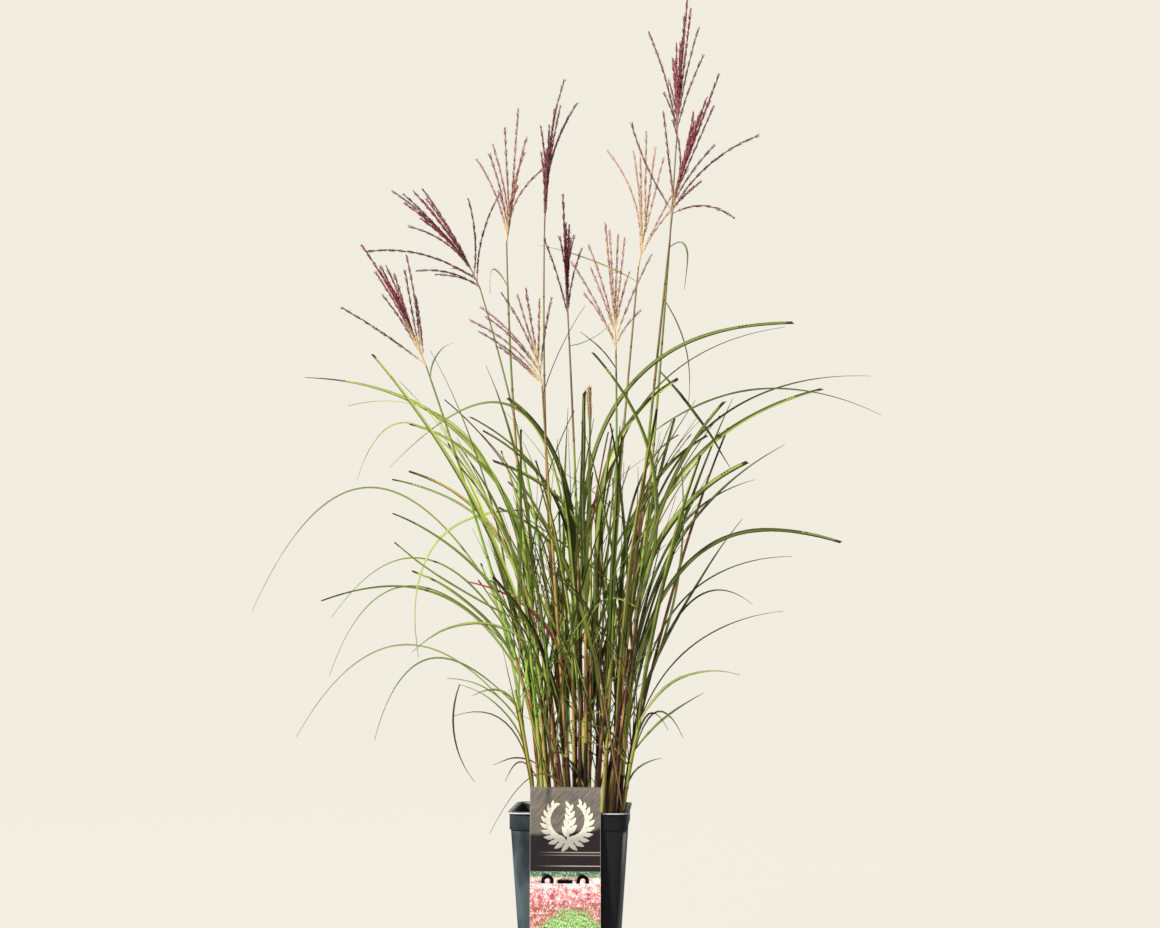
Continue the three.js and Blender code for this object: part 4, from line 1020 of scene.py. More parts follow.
@dataclass(frozen=True)
class SoilFinish:
    """Dark compost with lighter crumbs, and bark chips of several browns."""

    dark: Colour = (0.012, 0.008, 0.006)
    crumb: Colour = (0.075, 0.045, 0.028)
    bark: Colour = (0.150, 0.070, 0.035)
    fibre: Colour = (0.260, 0.180, 0.100)

    def material(self) -> bpy.types.Material:
        """Make the material: noise of crumb size, and each chip's own tone."""
        s = Shader("compost")
        place = s.place()
        fine, coarse = s.noise(place, 900.0, 4.0), s.noise(place, 180.0, 3.0)
        colour = s.blend((fine * 0.6 + coarse * 0.6).rise(0.45, 0.8), self.dark, self.crumb)
        colour = s.blend(s.value("rust").rise(0.2, 1.0), colour, self.bark)
        colour = s.blend(s.value("rust") * s.value("tone").rise(0.7, 1.0), colour, self.fibre)
        return s.finish(Base_Color=colour, Roughness=0.95, Normal=s.bump(fine + coarse, 0.0008))


@dataclass(frozen=True)
class LabelFinish:
    """Printed card: a grained panel, a dark band with two rules, thin strips, and a speckled flower bed."""

    taupe: Colour = (0.115, 0.096, 0.083)
    grain: Colour = (0.240, 0.210, 0.180)
    dark: Colour = (0.017, 0.012, 0.014)
    cream: Colour = (0.620, 0.560, 0.450)
    teal: Colour = (0.060, 0.130, 0.115)
    mist: Colour = (0.830, 0.800, 0.700)
    blush: Colour = (0.830, 0.520, 0.520)
    rose: Colour = (0.560, 0.120, 0.160)
    crimson: Colour = (0.240, 0.040, 0.060)
    moss: Colour = (0.230, 0.190, 0.070)
    leaf: Colour = (0.025, 0.130, 0.025)
    grass: Colour = (0.140, 0.380, 0.070)
    lime: Colour = (0.520, 0.660, 0.290)
    edge: Colour = (0.560, 0.540, 0.510)

    def material(self) -> bpy.types.Material:
        """Make the material: bands by height on the front face, noise for the panel's grain and the bed.

        Brush strokes of the panel and of the bed are noise stretched along a slant.
        """
        s = Shader("label_print")
        place = s.place()
        x, y, z = (s.part(place, axis) * 1000.0 for axis in "XYZ")
        wave = s.noise(s.vector(x * 0.05, z * 0.05, 3.0), 1.0, 2.0) - 0.5
        fibre = s.noise(s.vector((x + z) * 0.05, y, (z - x) * 0.9 + wave * 4.0), 1.0, 4.0)
        panel = s.blend(fibre.rise(0.42, 0.7), self.taupe, self.grain)
        panel = s.blend((z - x * 0.11 + wave * 10.0).rise(180.0, 173.0), panel, self.dark)
        for rule, depth in ((150.5, 0.5), (147.0, 0.35), (133.5, 0.6)):
            line = (z - rule).math("ABSOLUTE").rise(0.9, 0.3) * x.rise(-44.0, 10.0)
            panel = s.blend(line * depth, panel, self.cream)
        speck = s.noise(s.vector((x + z * 0.4) * 0.6, z * 0.34, 1.0), 1.0, 6.0)
        cloud = s.noise(s.vector(x * 0.05, z * 0.06, 9.0), 1.0, 2.0)
        panel = s.blend(z.rise(127.2, 126.4), panel, s.blend(speck.rise(0.45, 0.7), self.teal, self.lime))
        clump = s.noise(s.vector(x * 0.13, z * 0.17, 4.0), 1.0, 2.0)
        level = speck * 0.75 + clump * 0.6 + z.rise(116.0, 80.0) * 0.1
        bed = s.ramp(level, (0.56, self.mist), (0.68, self.blush), (0.80, self.rose), (0.90, self.crimson))
        olive = (clump + z.rise(100.0, 76.0) * 0.5 - 0.5).rise(0.2, 0.34) * speck.rise(0.4, 0.6)
        bed = s.blend(olive * 0.55, bed, self.moss)
        tufts = s.noise(s.vector((x - z * 0.5) * 0.8, (z + x * 0.3) * 0.3, 5.0), 1.0, 6.0)
        green = s.ramp(tufts, (0.38, self.leaf), (0.47, self.grass), (0.56, self.lime), (0.66, self.mist))
        mound = z + (tufts - 0.5) * 40.0 + (cloud - 0.5) * 30.0 + (x - 4.0) * (x - 4.0) * 0.012
        bed = s.blend(mound.rise(83.0, 72.0), bed, green)
        panel = s.blend((z + wave * 8.0 + (speck - 0.5) * 8.0).rise(121.0, 117.5), panel, bed)
        rim = (x - LABEL_X).math("ABSOLUTE").rise(44.3, 44.8)
        panel = s.blend(rim * 0.5, panel, self.edge)
        front = (y * -1.0).rise(78.6, 79.0)
        colour = s.blend(front, self.taupe, panel)
        return s.finish(Base_Color=colour, Roughness=0.4 + 0.12 * fibre, Specular_IOR_Level=0.25)


@dataclass(frozen=True)
class InkFinish:
    """Cream ink of the printed wreath, greyer low down, with a little wear."""

    cream: Colour = (0.760, 0.710, 0.610)
    worn: Colour = (0.420, 0.390, 0.340)
    grey: Colour = (0.270, 0.260, 0.255)

    def material(self) -> bpy.types.Material:
        """Make the material: cream that thins out by noise and greys towards the foot of the print."""
        s = Shader("sprig_ink")
        place = s.place()
        wear = s.noise(place, 160.0, 4.0).rise(0.5, 0.75)
        colour = s.blend(wear * 0.6, self.cream, self.worn)
        colour = s.blend(s.part(place, "Z").rise(0.186, 0.164) * 0.8, colour, self.grey)
        return s.finish(Base_Color=colour, Roughness=0.5, Specular_IOR_Level=0.25)


@dataclass(frozen=True)
class PaperFinish:
    """Cream studio paper: most of its light is its own, so that it looks even, and the rest takes shadows."""

    cream: Colour = (0.887, 0.847, 0.753)
    own: float = 0.99
    lit: float = 0.009

    def material(self) -> bpy.types.Material:
        """Make the material, with a faint fibre in its tone."""
        s = Shader("studio_paper")
        fibre = s.noise(s.place(), 40.0, 3.0)
        base = tuple(self.lit * part for part in self.cream)
        pale = tuple(1.05 * part for part in base)
        material = s.finish(Base_Color=s.blend(fibre, base, pale), Roughness=0.9, Specular_IOR_Level=0.0,
                            Emission_Color=self.cream, Emission_Strength=self.own)
        material.cycles.emission_sampling = "NONE"
        return material


VALUES = ("along", "across", "tone", "dry", "rust")


class Skin:
    """Surfaces gathered into one mesh, with the values at each point that its finishes read."""

    def __init__(self) -> None:
        """Start with no surface."""
        self.points: list[Array] = []
        self.faces: list[Array] = []
        self.slots: list[Array] = []
        self.values: dict[str, list[Array]] = {name: [] for name in VALUES}
        self.count = 0

    def add(self, points: Array, faces: Sequence[Array], slot: int = 0, **values: Array | float) -> None:
        """Add a surface.

        Args:
            points: its points in millimetres, one row each.
            faces: arrays of faces, each with the points of a face in a row.
            slot: the finish it takes.
            values: a value for each point, or one for all, by name.
        """
        self.points.append(points)
        for group in faces:
            self.faces.append(np.asarray(group) + self.count)
            self.slots.append(np.full(len(group), slot))
        for name in VALUES:
            self.values[name].append(np.broadcast_to(np.asarray(values.get(name, 0.0), float), len(points)))
        self.count += len(points)

    def piece(self, name: str, materials: Sequence[bpy.types.Material],
              sharp: float = 50.0) -> bpy.types.Object:
        """Make one object of all the surfaces.

        Args:
            name: the object's name.
            materials: its finishes, in the order of the slots.
            sharp: the angle in degrees past which an edge is sharp.

        Returns:
            The object, linked to the scene, at the origin.
        """
        mesh = bpy.data.meshes.new(name)
        sizes = np.concatenate([np.full(len(group), group.shape[1]) for group in self.faces])
        corners = np.concatenate([group.ravel() for group in self.faces])
        mesh.vertices.add(self.count)
        mesh.loops.add(len(corners))
        mesh.polygons.add(len(sizes))
        mesh.vertices.foreach_set("co", (np.concatenate(self.points) * MM).astype(np.float32).ravel())
        for part, key, value in ((mesh.loops, "vertex_index", corners),
                                 (mesh.polygons, "loop_start", np.cumsum(sizes) - sizes),
                                 (mesh.polygons, "material_index", np.concatenate(self.slots))):
            part.foreach_set(key, value.astype(np.int32))
        mesh.update(calc_edges=True)
        mesh.validate()
        mesh.shade_smooth()
        mesh.set_sharp_from_angle(angle=math.radians(sharp))
        for key in VALUES:
            values = np.concatenate(self.values[key]).astype(np.float32)
            if np.any(values):
                mesh.attributes.new(key, "FLOAT", "POINT").data.foreach_set("value", values)
        for material in materials:
            mesh.materials.append(material)
        made = bpy.data.objects.new(name, mesh)
        bpy.context.scene.collection.objects.link(made)
        return made


def tube_faces(rings: int, count: int) -> list[Array]:
    """Faces of a closed tube of rings, whose last two points are the middles of its two ends."""
    j = np.arange(count)
    k = (j + 1) % count
    i = np.arange(rings - 1)[:, None] * count
    sides = np.stack([i + j, i + k, i + count + k, i + count + j], axis=-1).reshape(-1, 4)
    first, last = np.full(count, rings * count), np.full(count, rings * count + 1)
    top = (rings - 1) * count
    return [sides, np.stack([first, k, j], axis=-1), np.stack([last, top + j, top + k], axis=-1)]


def tube(skin: Skin, rings: Array, slot: int = 0, **values: Array | float) -> None:
    """Add a closed tube.

    Args:
        skin: the mesh it goes into.
        rings: its points by ring and by place round the ring, anticlockwise seen from its far end.
        slot: the finish it takes.
        values: values that vary by ring, by place round the ring, or not at all, by name.
    """
    count, around = rings.shape[:2]
    points = np.concatenate([rings.reshape(-1, 3), rings[[0, -1]].mean(axis=1)])
    spread = {}
    for name, value in values.items():
        grid = np.broadcast_to(np.asarray(value, float), (count, around))
        spread[name] = np.concatenate([grid.ravel(), grid[[0, -1]].mean(axis=1)])
    skin.add(points, tube_faces(count, around), slot, **spread)


def circle(count: int) -> Array:
    """Points round a circle of radius 1: cos and sin of even steps of angle."""
    angle = 2 * math.pi * np.arange(count) / count
    return np.stack([np.cos(angle), np.sin(angle)], axis=-1)


def level_ring(outline: Array, height: float) -> Array:
    """A flat outline set at a height."""
    return np.hstack([outline, np.full((len(outline), 1), height)])


def frame_round(way: Array) -> tuple[Array, Array]:
    """Two unit directions square to each way and to each other, the first level with the ground."""
    across = unit(np.cross([0.0, 1.0, 0.0], way))
    return across, np.cross(way, across)


def round_rings(centres: Array, way: Array, radii: Array, sides: int) -> Array:
    """Rings round centres: centre plus radius times cos and sin of the angle along the two directions."""
    cos, sin = circle(sides).T[..., None]
    across, other = frame_round(way)
    wave = cos * across[:, None] + sin * other[:, None]
    return centres[:, None] + np.reshape(radii, (len(centres), -1, 1)) * wave


def leaning(way: Array, angle: Array) -> Array:
    """Unit directions square to each way, at an angle round it."""
    across, other = frame_round(way)
    return np.cos(angle)[:, None] * across + np.sin(angle)[:, None] * other


def smooth(low: float, high: float, x: Array) -> Array:
    """Rise from 0 at low to 1 at high as 3t² less 2t³."""
    t = np.clip((np.asarray(x, float) - low) / (high - low), 0, 1)
    return t * t * (3 - 2 * t)


# the shares of leaves that are dead, by where they are, and the share that is partly dead
LOW_FOOT_Z, THIN_WIDTH = 260.0, 2.6
DEAD_LOW, DEAD_THIN, DEAD_WIDE, PART_DEAD = 0.36, 0.26, 0.1, 0.16


@dataclass
class LeafyStem:
    """A fine stem with its nodes, sheaths and blades, in place of one solid."""

    stem: Stem
    seed: int
    sides: int = 9
    ring_pitch: float = 9.0
    node_pitch: float = 118.0
    sheath: float = 0.3
    widen: float = 1.15
    narrow: float = 0.88

    # A blade's section from edge to edge over its upper face, then back below, as shares of its half width.
    section: tuple[float, ...] = (1, 0.62, 0.3, 0.08, 0, -0.08, -0.3, -0.62, -1, -0.6, -0.12, 0, 0.12, 0.6)
    upper: int = 9

    def grow_stem(self, skin: Skin, rng: np.random.Generator) -> None:
        """Add the stem: a tube that swells at each node and steps in where each sheath ends.

        The radius is the solid's own, less a little, plus a bump exp(-(d/1.7)²) at the distance d from
        each node, plus a step of a sheath's thickness below each leaf.

        Args:
            skin: the mesh it goes into.
            rng: the source of its chance values.
        """
        arc, length = self.stem.arc, self.stem.arc.length()
        pitch = self.node_pitch * rng.uniform(0.8, 1.25)
        nodes = np.arange(pitch * rng.uniform(0.3, 0.7), length, pitch) / length
        ends = np.array([leaf.share for leaf in self.stem.leaves] or [0.5])
        marks = np.concatenate([nodes + d / length for d in (-4, -2, -1, 0, 1, 2, 4)])
        steps = np.concatenate([ends + d / length for d in (-0.4, 0.4)])
        u = np.concatenate([np.linspace(0, 1, max(8, int(length / self.ring_pitch))), marks, steps])
        u = np.unique(np.clip(u, 0, 1).round(5))
        bump = np.exp(-(((u[:, None] - nodes) * length / 1.7) ** 2)).sum(axis=1)
        sheaths = (u[:, None] < ends).sum(axis=1)
        radius = self.stem.radius(u) * (0.86 + 0.16 * bump) + self.sheath * np.minimum(sheaths, 2) * 0.5
        centres, way = arc.at(u), arc.way(u)
        root = centres[:1] - way[:1] * ROOT_DEPTH
        rings = round_rings(np.vstack([root, centres]), np.vstack([way[:1], way]),
                            np.concatenate([radius[:1], radius]), self.sides)
        along = np.concatenate([[0], u])[:, None]
        across = np.linspace(-1, 1, self.sides)[None]
        band = np.concatenate([[0], np.minimum(bump, 1)])[:, None]
        height = (rings[..., 2] - SOIL_Z) / 600
        tones = rng.normal(rng.normal(0.36, 0.2), 0.18, len(nodes) + 1)
        tones += np.interp(np.arange(len(tones)), (0, 2.5), (-0.2, 0.14))
        tones += 0.3 * smooth(12.0, 42.0, CLUMP_X - arc.foot[0])
        tone = np.concatenate([tones[:1], tones[(u[:, None] > nodes).sum(axis=1)]])[:, None]
        tube(skin, rings, 1, along=along * 0.3 + height * 0.7, across=across, tone=np.clip(tone, 0, 1),
             dry=band, rust=rng.uniform(0, 1))

    def grow_blade(self, skin: Skin, leaf: Leaf, rng: np.random.Generator) -> None:
        """Add a blade: its section carried along its arc, folded at the rib, rolled and twisted.

        A point of the section lies s half widths across, and up by the fold times |s| less a half. The
        lower face lies below it by an even thickness plus a keel exp(-(s/0.16)²) under the rib.

        Args:
            skin: the mesh it goes into.
            leaf: the blade as it was placed.
            rng: the source of its chance values.
        """
        arc = leaf.arc
        chord = np.cross(arc.control - arc.foot, arc.tip - arc.foot)
        flat = chord / np.linalg.norm(chord) if np.linalg.norm(chord) > 1 else np.array([0.0, 1.0, 0.0])
        count = int(np.clip(arc.length() * leaf.kept / 12, 12, 42))
        share = np.linspace(0, 1, count)
        u = leaf.kept * share
        way = arc.way(u)
        angle = (leaf.roll + leaf.twist * u)[:, None]
        across = flat * np.cos(angle) + np.cross(way, flat) * np.sin(angle)
        across = unit(across - (across * way).sum(axis=1, keepdims=True) * way)
        up = np.cross(way, across)
        half = np.maximum(leaf.half_width(share) * (self.widen if leaf.listed >= 0 else self.narrow), 0.28)
        ripple = 1 + 0.05 * np.sin(share * rng.uniform(18, 40) + rng.uniform(0, 6))
        fold = 0.6 - 0.25 * smooth(0.0, 0.3, share) + 0.1 * smooth(0.6, 1.0, share)
        sway = 0.7 * np.sin(2 * math.pi * (share * rng.uniform(1, 2.4) + rng.uniform(0, 1))) * share
        s = np.array(self.section)[None]
        wide = s * (half * ripple)[:, None] + sway[:, None]
        rise = (fold * half)[:, None] * (np.abs(s) - 0.5)
        thick = (0.16 + 0.55 * np.exp(-((s / 0.16) ** 2))) * (1 - 0.45 * share)[:, None]
        below = np.arange(len(self.section)) >= self.upper
        rise = np.where(below[None], rise - thick, rise)
        slant = np.zeros((count, 1))
        if leaf.kind is Tip.CUT:
            slant[-1] = rng.uniform(-1.2, 1.2)
        rings = (arc.at(u)[:, None] + wide[..., None] * across[:, None] + rise[..., None] * up[:, None]
                 + (s * slant * half[:, None])[..., None] * way[:, None])
        tone, dry, rust = LEAF_LOOKS.get((self.stem.node, leaf.listed), self.chance_look(leaf, rng))
        cut = leaf.kind is Tip.CUT
        end = smooth(0.975, 1.0, share) if cut else smooth(0.8, 1.0, share) * rng.uniform(0.0, 0.7)
        tube(skin, rings, 0, along=share[:, None], across=s, tone=tone, dry=np.maximum(dry, end)[:, None],
             rust=np.where((share > 0.9) & (end.max() > dry), 0.76, rust)[:, None])

    @staticmethod
    def chance_look(leaf: Leaf, rng: np.random.Generator) -> tuple[float, float, float]:
        """The tone, dryness and dry hue of a leaf.

        Leaves are painted brighter to the left and higher up, where the key light falls; thin ones are
        dark, and more are dead low down. A dead leaf that stands clear of the clump is brown; inside it,
        it may be straw or orange too.

        Args:
            leaf: the leaf as it was placed.
            rng: the source of its chance values.

        Returns:
            The three values.
        """
        x, z = leaf.arc.tip[0], leaf.arc.tip[2]
        thin = leaf.width < THIN_WIDTH
        dead = DEAD_LOW if leaf.arc.foot[2] < LOW_FOOT_Z else DEAD_THIN if thin else DEAD_WIDE
        pick, dry, rust = rng.random(), rng.uniform(0, 0.12), rng.uniform(0, 0.8) ** 0.8
        if pick < dead and leaf.listed < 0:
            dry, rust = 0.9, max(rust, 0.62 * smooth(70.0, 120.0, abs(x - CLUMP_X)))
        elif pick < dead + PART_DEAD and leaf.listed < 0:
            dry = rng.uniform(0.25, 0.5)
        middle = 0.28 if leaf.listed >= 0 else 0.16 if rng.random() < 0.45 or leaf.width < 2.4 else 0.6
        # painted light: the tone rises to the left and upwards, where the key light falls
        tone = middle - x / 900 + (z - 560) / 3000 + rng.normal(0, 0.14)
        return float(np.clip(tone, 0.02, 0.7)), dry, float(rust)

    def build(self, materials: Sequence[bpy.types.Material]) -> bpy.types.Object:
        """Make the stem and its blades one piece.

        Args:
            materials: the blade finish and the stem finish.

        Returns:
            The piece.
        """
        rng = np.random.default_rng(self.seed)
        skin = Skin()
        self.grow_stem(skin, rng)
        for leaf in self.stem.leaves:
            self.grow_blade(skin, leaf, rng)
        return skin.piece("fine_" + self.stem.node, materials)


def lance(rings: Sequence[tuple[float, float]], sides: int) -> tuple[Array, list[Array]]:
    """A pointed shape one long, along z: rings of a height and a radius between two end points."""
    loops = [level_ring(r * circle(sides), z) for z, r in rings]
    return np.concatenate([*loops, [[0, 0, 0], [0, 0, 1]]]), tube_faces(len(rings), sides)


def scatter(skin: Skin, shape: tuple[Array, list[Array]], places: Array, way: Array, size: Array,
            slot: int = 0, **values: Array) -> None:
    """Add a copy of a shape at each place.

    A copy's point is its place plus the shape's x and y along two directions square to its way, times its
    girth, plus the shape's z along its way, times its length.

    Args:
        skin: the mesh they go into.
        shape: the points and faces of the shape, one long along z.
        places: where the copies start, one row each.
        way: the unit direction of each copy.
        size: the girth and length of each copy.
        slot: the finish they take.
        values: a value for each copy, by name.
    """
    points, faces = shape
    across, other = frame_round(way)
    girth, length = size[:, :1, None], size[:, 1:, None]
    at = (places[:, None] + points[None, :, :1] * girth * across[:, None]
          + points[None, :, 1:2] * girth * other[:, None] + points[None, :, 2:] * length * way[:, None])
    step = (np.arange(len(places)) * len(points))[:, None, None]
    spread = {name: np.repeat(value, len(points)) for name, value in values.items()}
    skin.add(at.reshape(-1, 3), [(np.asarray(f)[None] + step).reshape(-1, f.shape[1]) for f in faces], slot,
             **spread)


@dataclass
class Plume:
    """A flower head: a short axis and branches set with pairs of hairy spikelets, in place of one solid."""

    stem: Stem
    seed: int
    tone: float
    pallor: float
    straw: float
    pitch: float = 3.1
    spikelet: tuple[float, float] = (0.78, 5.4)
    hairs: int = 4
    bunch: int = 4
    fill: int = 2

    def paling(self, u: Array) -> Array:
        """How far the colour pales to straw: most at a branch's foot, not at all past 0.35 of it."""
        return self.straw * (1 - smooth(0.04, 0.35, u))

    def grow_branch(self, skin: Skin, arc: Arc, outer: float, rng: np.random.Generator) -> None:
        """Add one branch with its spikelets, awns and hairs.

        Spikelets leave the thread in pairs, turned by the golden angle from one pair to the next, and lean
        out from it by 0.2 to 0.45 radians; hairs stand round each spikelet's foot and lean further.

        Args:
            skin: the mesh it goes into.
            arc: the branch's arc.
            outer: 1 for one that leaves the bunch, which is darker and thinner, or else 0.
            rng: the source of its chance values.
        """
        base = self.tone + 0.12 - 0.3 * outer * (1 - self.pallor)
        u = np.linspace(0, 1, 18)
        rings = round_rings(arc.at(u), arc.way(u), 0.62 - 0.4 * u, 5)
        tube(skin, rings, 0, across=self.paling(u)[:, None], tone=base, rust=self.pallor)
        count = int(arc.length() * 0.9 / self.pitch)
        u = np.repeat(np.linspace(0.09, 1.0, count), 2)
        pair, side = np.divmod(np.arange(2 * count), 2)
        angle = pair * 2.4 + side * math.pi + rng.normal(0, 0.3, 2 * count)
        lean = rng.uniform(0.16, 0.42, 2 * count)[:, None]
        way = arc.way(u)
        radial = leaning(way, angle)
        out = np.cos(lean) * way + np.sin(lean) * radial
        girth = self.spikelet[0] * rng.uniform(0.8, 1.2, 2 * count) * (1.05 - 0.25 * outer)
        length = self.spikelet[1] * rng.uniform(0.8, 1.15, 2 * count)
        tone = np.clip(rng.normal(base, 0.24, 2 * count), 0, 1)
        husk = lance(((0.3, 1.0), (0.68, 0.72)), 5)
        scatter(skin, husk, arc.at(u) + 0.3 * radial, out, np.stack([girth, length], axis=-1), tone=tone,
                rust=np.full(2 * count, self.pallor), across=self.paling(u))
        turns = self.hairs
        u, way, radial = (np.repeat(part, turns, axis=0) for part in (u, way, radial))
        spin = np.tile(np.arange(turns) * 2 * math.pi / turns, 2 * count) + rng.normal(0, 0.4, len(u))
        fan = np.cos(spin)[:, None] * radial + np.sin(spin)[:, None] * np.cross(way, radial)
        lean = rng.uniform(0.25, 0.7, len(u))[:, None]
        strand = unit(np.cos(lean) * way + np.sin(lean) * (0.65 * radial + 0.6 * fan))
        size = np.stack([np.full(len(u), 0.09), rng.uniform(3.5, 7.0, len(u))], axis=-1)
        scatter(skin, lance(((0.1, 1.0),), 3), arc.at(u) + 0.3 * radial, strand, size,
                tone=np.clip(rng.normal(base + 0.15, 0.2, len(u)), 0, 1),
                rust=np.full(len(u), self.pallor), dry=np.ones(len(u)), across=self.paling(u))

    def inner_branches(self, rng: np.random.Generator) -> list[Arc]:
        """Branches that fill the bunch round the axis: each lies between two that are close together."""
        foot, end = self.stem.axis
        way = (end - foot) / np.linalg.norm(end - foot)
        lean = [math.acos(float(np.clip(((arc.tip - foot) @ way) / np.linalg.norm(arc.tip - foot), -1, 1)))
                for arc in self.stem.branches]
        bunch = [self.stem.branches[i] for i in np.argsort(lean)[: self.bunch]]
        added = []
        for one, other in zip(bunch, bunch[1:]):
            for _ in range(self.fill if self.pallor < 0.3 else 0):
                t, size = rng.uniform(0.15, 0.85), rng.uniform(0.6, 1.0)
                start = one.foot * (1 - t) + other.foot * t
                control, tip = one.control * (1 - t) + other.control * t, one.tip * (1 - t) + other.tip * t
                shift = np.array([rng.normal(0, 1.6), rng.uniform(-7, 7), 0.0])
                added.append(Arc(start, start + (control - start) * size + shift * 0.5,
                                 start + (tip - start) * size + shift))
        return added

    def build(self, material: bpy.types.Material) -> bpy.types.Object:
        """Make the flower head one piece.

        Args:
            material: its finish.

        Returns:
            The piece.
        """
        rng = np.random.default_rng(self.seed)
        skin = Skin()
        foot, end = self.stem.axis
        u = np.linspace(0, 1, 9)
        centres = foot + (end - foot) * u[:, None]
        way = np.repeat((end - foot)[None] / np.linalg.norm(end - foot), len(u), axis=0)
        tube(skin, round_rings(centres, way, CULM_TOP - 0.35 * u, 8), 0, across=self.straw * 0.8,
             tone=self.tone, rust=max(self.pallor, 0.5))
        for arc in self.stem.branches:
            turn = math.acos(float(arc.way(1)[0] @ way[0]))
            self.grow_branch(skin, arc, float(smooth(0.1, 0.35, turn)), rng)
        for arc in self.inner_branches(rng):
            self.grow_branch(skin, arc, 0.0, rng)
        return skin.piece("fine_plume_" + self.stem.owner, [material])


@dataclass
class Bud:
    """The brown spindle of a shoot that hasn't flowered, ribbed by its dry sheaths and frayed at the top."""

    stem: Stem
    length: float = BUD_LENGTH
    girth: float = BUD_RADIUS
    sides: int = 30
    strips: int = 14
    seed: int = 5

    def build(self, material: bpy.types.Material) -> bpy.types.Object:
        """Make the spindle and the frayed strips one piece.

        The spindle's radius swells from the stem's to the full girth at 0.6 of its length, times one plus
        a tenth of cos 6θ, with θ turning slowly with the height.

        Args:
            material: its finish.

        Returns:
            The piece.
        """
        rng = np.random.default_rng(self.seed)
        skin = Skin()
        way = self.stem.arc.way(1)
        foot = self.stem.arc.at(1) + 0.3 * way
        u = np.linspace(0, 1, 22)
        angle = 2 * math.pi * np.arange(self.sides) / self.sides
        swell = np.interp(u, (0, 0.25, 0.6, 1), (CULM_TOP, self.girth * 0.66, self.girth, self.girth * 0.8))
        ribs = np.cos(6 * (angle[None] + u[:, None]))
        rings = round_rings(foot + way * (u * self.length)[:, None], np.repeat(way, len(u), axis=0),
                            swell[:, None] * (1 + 0.1 * ribs), self.sides)
        tube(skin, rings, 0, along=u[:, None], across=np.cos(3 * angle)[None],
             tone=0.5 + 0.5 * ribs, rust=0.5)
        spin = rng.uniform(0, 2 * math.pi, self.strips)
        ways = np.repeat(way, self.strips, axis=0)
        radial = leaning(ways, spin)
        climb = (self.length * rng.uniform(0.55, 0.95, self.strips))[:, None]
        places = foot + ways * climb + 0.6 * self.girth * radial
        out = unit(ways + radial * rng.uniform(0.0, 0.45, self.strips)[:, None])
        size = np.stack([rng.uniform(0.25, 0.6, self.strips), rng.uniform(7, 17, self.strips)], axis=-1)
        scatter(skin, lance(((0.2, 1.0), (0.7, 0.6)), 5), places, out, size,
                tone=rng.uniform(0, 1, self.strips), rust=rng.uniform(0.2, 1, self.strips))
        return skin.piece("fine_bud", [material])


def square_ring(half: float, radius: float, corner: int = 9, side: int = 9) -> Array:
    """Points round a square with round corners: a quarter turn about each corner's middle, then the side."""
    inset = half - radius
    turn = np.linspace(0, math.pi / 2, corner)
    quarter = np.stack([inset + radius * np.cos(turn), inset + radius * np.sin(turn)], axis=-1)
    straight = np.linspace(inset, -inset, side + 2)[1:-1]
    edge = np.stack([straight, np.full(side, half)], axis=-1)
    quadrant = np.concatenate([quarter, edge])
    spins = [np.linalg.matrix_power(np.array([[0, 1], [-1, 0]]), k) for k in range(4)]
    return np.concatenate([quadrant @ spin for spin in spins])


def square_lathe(profile: Sequence[tuple[float, float, float]], **grid: int) -> Array:
    """Rings of a square lathe, one for each half width, corner radius and height of the profile."""
    return np.stack([level_ring(square_ring(half, min(radius, half * 0.98), **grid), z)
                     for half, radius, z in profile])


def carve(piece: bpy.types.Object, cutter: bpy.types.Object) -> None:
    """Cut one piece by another, which is then removed."""
    cut = piece.modifiers.new("cut", "BOOLEAN")
    cut.operation, cut.solver, cut.object = "DIFFERENCE", "EXACT", cutter
    graph = bpy.context.evaluated_depsgraph_get()
    carved = bpy.data.meshes.new_from_object(piece.evaluated_get(graph))
    piece.modifiers.clear()
    piece.data = carved
    bpy.data.objects.remove(cutter)


def block(skin: Skin, middle: Sequence[float], size: Sequence[float], turn: float = 0.0) -> None:
    """Add a box with a middle and a size, turned about the upright through the origin."""
    x, y, z = (np.array(size) / 2).tolist()
    loop = np.array([[x, y], [-x, y], [-x, -y], [x, -y]])
    rings = np.stack([level_ring(loop, h) for h in (-z, z)]) + np.array(middle)
    cos, sin = math.cos(turn), math.sin(turn)
    tube(skin, rings @ np.array([[cos, sin, 0], [-sin, cos, 0], [0, 0, 1]]))


